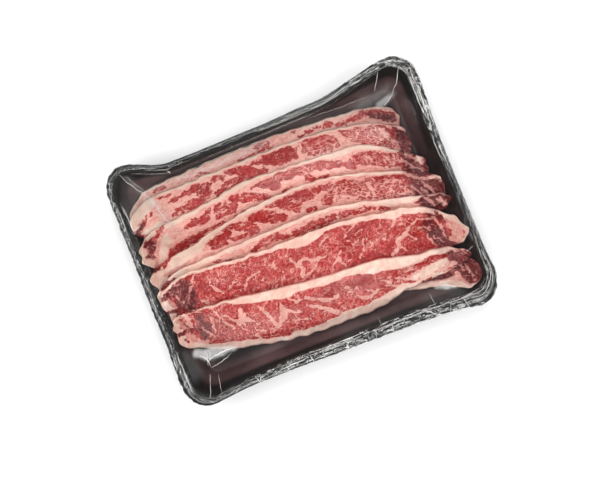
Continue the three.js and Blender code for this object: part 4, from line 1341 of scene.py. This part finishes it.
    # Painted shade: a dark line along the long edges of each slice's top, broken up by the tone noise,
    # darker in the dark zones
    rimmed = n.math("MULTIPLY_ADD", grainy, 1.2, edge)
    outline = n.step(rimmed, 0.05, 0.75, 1, 0)
    outline = n.math("MULTIPLY", outline, n.step(tone, 0.38, 0.6, 0.15, 0.75))
    skin = n.mix(outline, skin, n.mix(dark, PAINTED_EDGE_SHADE, PAINTED_EDGE_SHADE_DARK))

    rough = n.step(n.noise(cut, 0.5, 2), 0.3, 0.7, 0.36, 0.5)
    height = n.math("MULTIPLY_ADD", mottle, 0.7, n.math("MULTIPLY", amount, 0.6))
    bump = n.bump(0.4, 0.0006, height)
    shader = n.principled({
        "Base Color": skin,
        "Roughness": rough,
        "Normal": bump,
        "Subsurface Weight": 0.06,
        "Subsurface Radius": (1.0, 0.35, 0.25),
        "Subsurface Scale": 0.001,
        "Specular IOR Level": 0.35,
        "Coat Weight": 0.12,
        "Coat Roughness": 0.3,
    })
    return n.output(shader)


def foam_material():
    """Glossy black foam, with a painted reflection of the meat and light on the gentle slope round the
    floor.
    """
    n = Nodes("tray_foam")
    place = n.place()
    slope = n.attribute("slope")
    beads = n.add("ShaderNodeTexVoronoi", {"Vector": place, "Scale": 620.0}).outputs["Distance"]
    cloud = n.noise(place, 45.0, 3)
    shade = n.mix(n.step(cloud, 0.3, 0.7), FOAM_DEEP, FOAM)
    # Painted reflection of the meat and light on the inner slope
    painted_reflection = n.mix(n.step(cloud, 0.35, 0.65), PAINTED_REFLECTION_DEEP, PAINTED_REFLECTION)
    shade = n.mix(slope, shade, painted_reflection)
    rough = n.step(cloud, 0.3, 0.7, 0.3, 0.42)
    bump = n.bump(0.15, 0.0003, beads)
    shader = n.principled({
        "Base Color": shade,
        "Roughness": rough,
        "Normal": bump,
        "Specular IOR Level": 0.3,
    })
    return n.output(shader)


def film_material():
    """Clear film that mirrors by its angle and turns milky where it is stretched or crumpled; its milky
    patches, creases and rim streaks are partly painted reflections and glints, and its lip over the
    rim's edge is painted shade.
    """
    n = Nodes("stretch_film")
    place = n.place()
    haze_and_glints = n.attribute("haze_and_glints")
    glow = n.attribute("glow")
    rim = n.attribute("rim", "Vector")
    # Milky streaks along the rim: crumpled film, partly painted glints
    lines = n.noise(n.vector("MULTIPLY", rim, (0.13, 1.15, 1)), 1.0, 3)
    glints = n.noise(n.vector("MULTIPLY", rim, (0.7, 0.9, 1)), 1.0, 3)
    lines = n.step(n.math("MULTIPLY_ADD", glints, 0.6, lines), 0.84, 0.94)
    crumpled = n.math("MULTIPLY", glow, n.math("MULTIPLY_ADD", lines, 0.95, 0.06))
    uneven = n.step(n.noise(place, 120.0, 2), 0.3, 0.7, 0.8, 1.12)
    # Painted shade: the lip over the rim's outer edge is made nearly opaque and tinted near-black,
    # except along the bright lines
    lip = n.math("MULTIPLY", n.add("ShaderNodeSeparateXYZ", {0: rim}).outputs[2], 0.86)
    crumpled = n.math("MAXIMUM", crumpled, lip)
    # Milky where hazy or crumpled, partly painted reflections and glints, and nearly opaque over the lip
    milky = n.math("MAXIMUM", n.math("MULTIPLY", haze_and_glints, uneven), crumpled)
    shine = n.math("MULTIPLY", lines, n.step(glow, 0.05, 0.6), clamp=True)
    painted_shade = n.math("MULTIPLY", lip, n.math("SUBTRACT", 1.0, shine))
    tint = n.mix(n.step(painted_shade, 0.02, 0.5), FILM_LIGHT, FILM_PAINTED_SHADE)
    crinkle = n.math("MULTIPLY_ADD", lines, n.math("MULTIPLY", glow, 1.2), n.noise(place, 90.0, 3))
    bump = n.bump(0.3, 0.0006, crinkle)
    gloss = n.principled({
        "Base Color": tint,
        "Metallic": n.step(milky, 0.02, 0.5, 1.0, 0.3),
        "Roughness": n.step(milky, 0.02, 0.5, 0.12, 0.3),
        "Normal": bump,
    })
    clear = n.add("ShaderNodeBsdfTransparent")
    facing = n.add("ShaderNodeFresnel", {"IOR": 1.36, "Normal": bump}).outputs[0]
    share = n.math("ADD", facing, milky, clamp=True)
    mixed = n.add("ShaderNodeMixShader", {0: share, 1: clear.outputs[0], 2: gloss})
    return n.output(mixed.outputs[0])


# Floor, light and camera

def make_floor():
    n = Nodes("floor")
    place = n.place()
    shade = n.mix(n.noise(place, 3.0), FLOOR_LIGHT, FLOOR_SHADE)
    shader = n.principled({"Base Color": shade, "Roughness": 0.9})
    mesh = bpy.data.meshes.new("floor")
    corners = [(x * STUDIO_REACH, y * STUDIO_REACH, 0) for x, y in ((-1, -1), (1, -1), (1, 1), (-1, 1))]
    mesh.from_pydata(corners, [], [(0, 1, 2, 3)])
    mesh.materials.append(n.output(shader))
    placed("floor", mesh)


def add_light(name, azimuth, elevation, size, power):
    """A square soft light that looks at the pack from its azimuth and elevation in degrees."""
    lamp = bpy.data.lights.new(name, "AREA")
    lamp.size = size
    lamp.energy = power
    holder = placed(name, lamp)
    turn, rise = math.radians(azimuth), math.radians(elevation)
    way = Vector((math.sin(turn) * math.cos(rise), math.cos(turn) * math.cos(rise), math.sin(rise)))
    holder.location = way * LAMP_DISTANCE
    holder.rotation_euler = way.to_track_quat("Z", "Y").to_euler()


def make_light():
    world = bpy.data.worlds.new("studio")
    bpy.context.scene.world = world
    world.use_nodes = True
    backdrop = world.node_tree.nodes["Background"]
    backdrop.inputs["Color"].default_value = (1, 1, 1, 1)
    backdrop.inputs["Strength"].default_value = WORLD_STRENGTH
    for name, settings in LAMPS.items():
        add_light(name, *settings)


def make_camera():
    """The photograph looks almost straight down, with the pack turned in the picture."""
    azimuth, elevation, roll = (math.radians(angle) for angle in CAMERA_ANGLES)
    target = Vector(CAMERA_TARGET) * MM
    distance = CAMERA_DISTANCE * MM
    flat = math.cos(elevation)
    look = Vector((-math.sin(azimuth) * flat, math.cos(azimuth) * flat, -math.sin(elevation)))
    level = Vector((math.cos(azimuth), math.sin(azimuth), 0))
    rise = level.cross(look)
    right = math.cos(roll) * level + math.sin(roll) * rise
    up = math.cos(roll) * rise - math.sin(roll) * level
    lens = bpy.data.cameras.new("camera")
    lens.lens = LENS
    lens.sensor_width = SENSOR
    camera = placed("camera", lens)
    turned = Matrix((right, up, -look)).transposed().to_4x4()
    camera.matrix_world = Matrix.Translation(target - look * distance) @ turned
    bpy.context.scene.camera = camera


def dress(piece, node, material):
    piece.data.materials.append(material)
    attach(piece, "root")
    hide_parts(node)


make_camera()
make_floor()
make_light()
bpy.context.scene.view_settings.view_transform = "Standard"

tray = make_tray()
dress(tray, "tray", foam_material())

tree = BVHTree.FromObject(tray, bpy.context.evaluated_depsgraph_get())
floor_map = np.zeros((ROWS, COLUMNS))
for row in range(ROWS):
    for column in range(COLUMNS):
        start = Vector((MAP_LEFT + column, MAP_LOW + row, 100)) * MM
        hit = tree.ray_cast(start, Vector((0, 0, -1)))[0]
        floor_map[row, column] = hit.z / MM if hit else 0

beef = beef_material()
pile_map = np.full((ROWS, COLUMNS), FLOOR)
for cut in SLICES:
    piece, pile_map = make_slice(cut, pile_map, floor_map)
    dress(piece, cut["node"], beef)

film = make_film(film_sheet(pile_map, floor_map))
dress(film, "film", film_material())
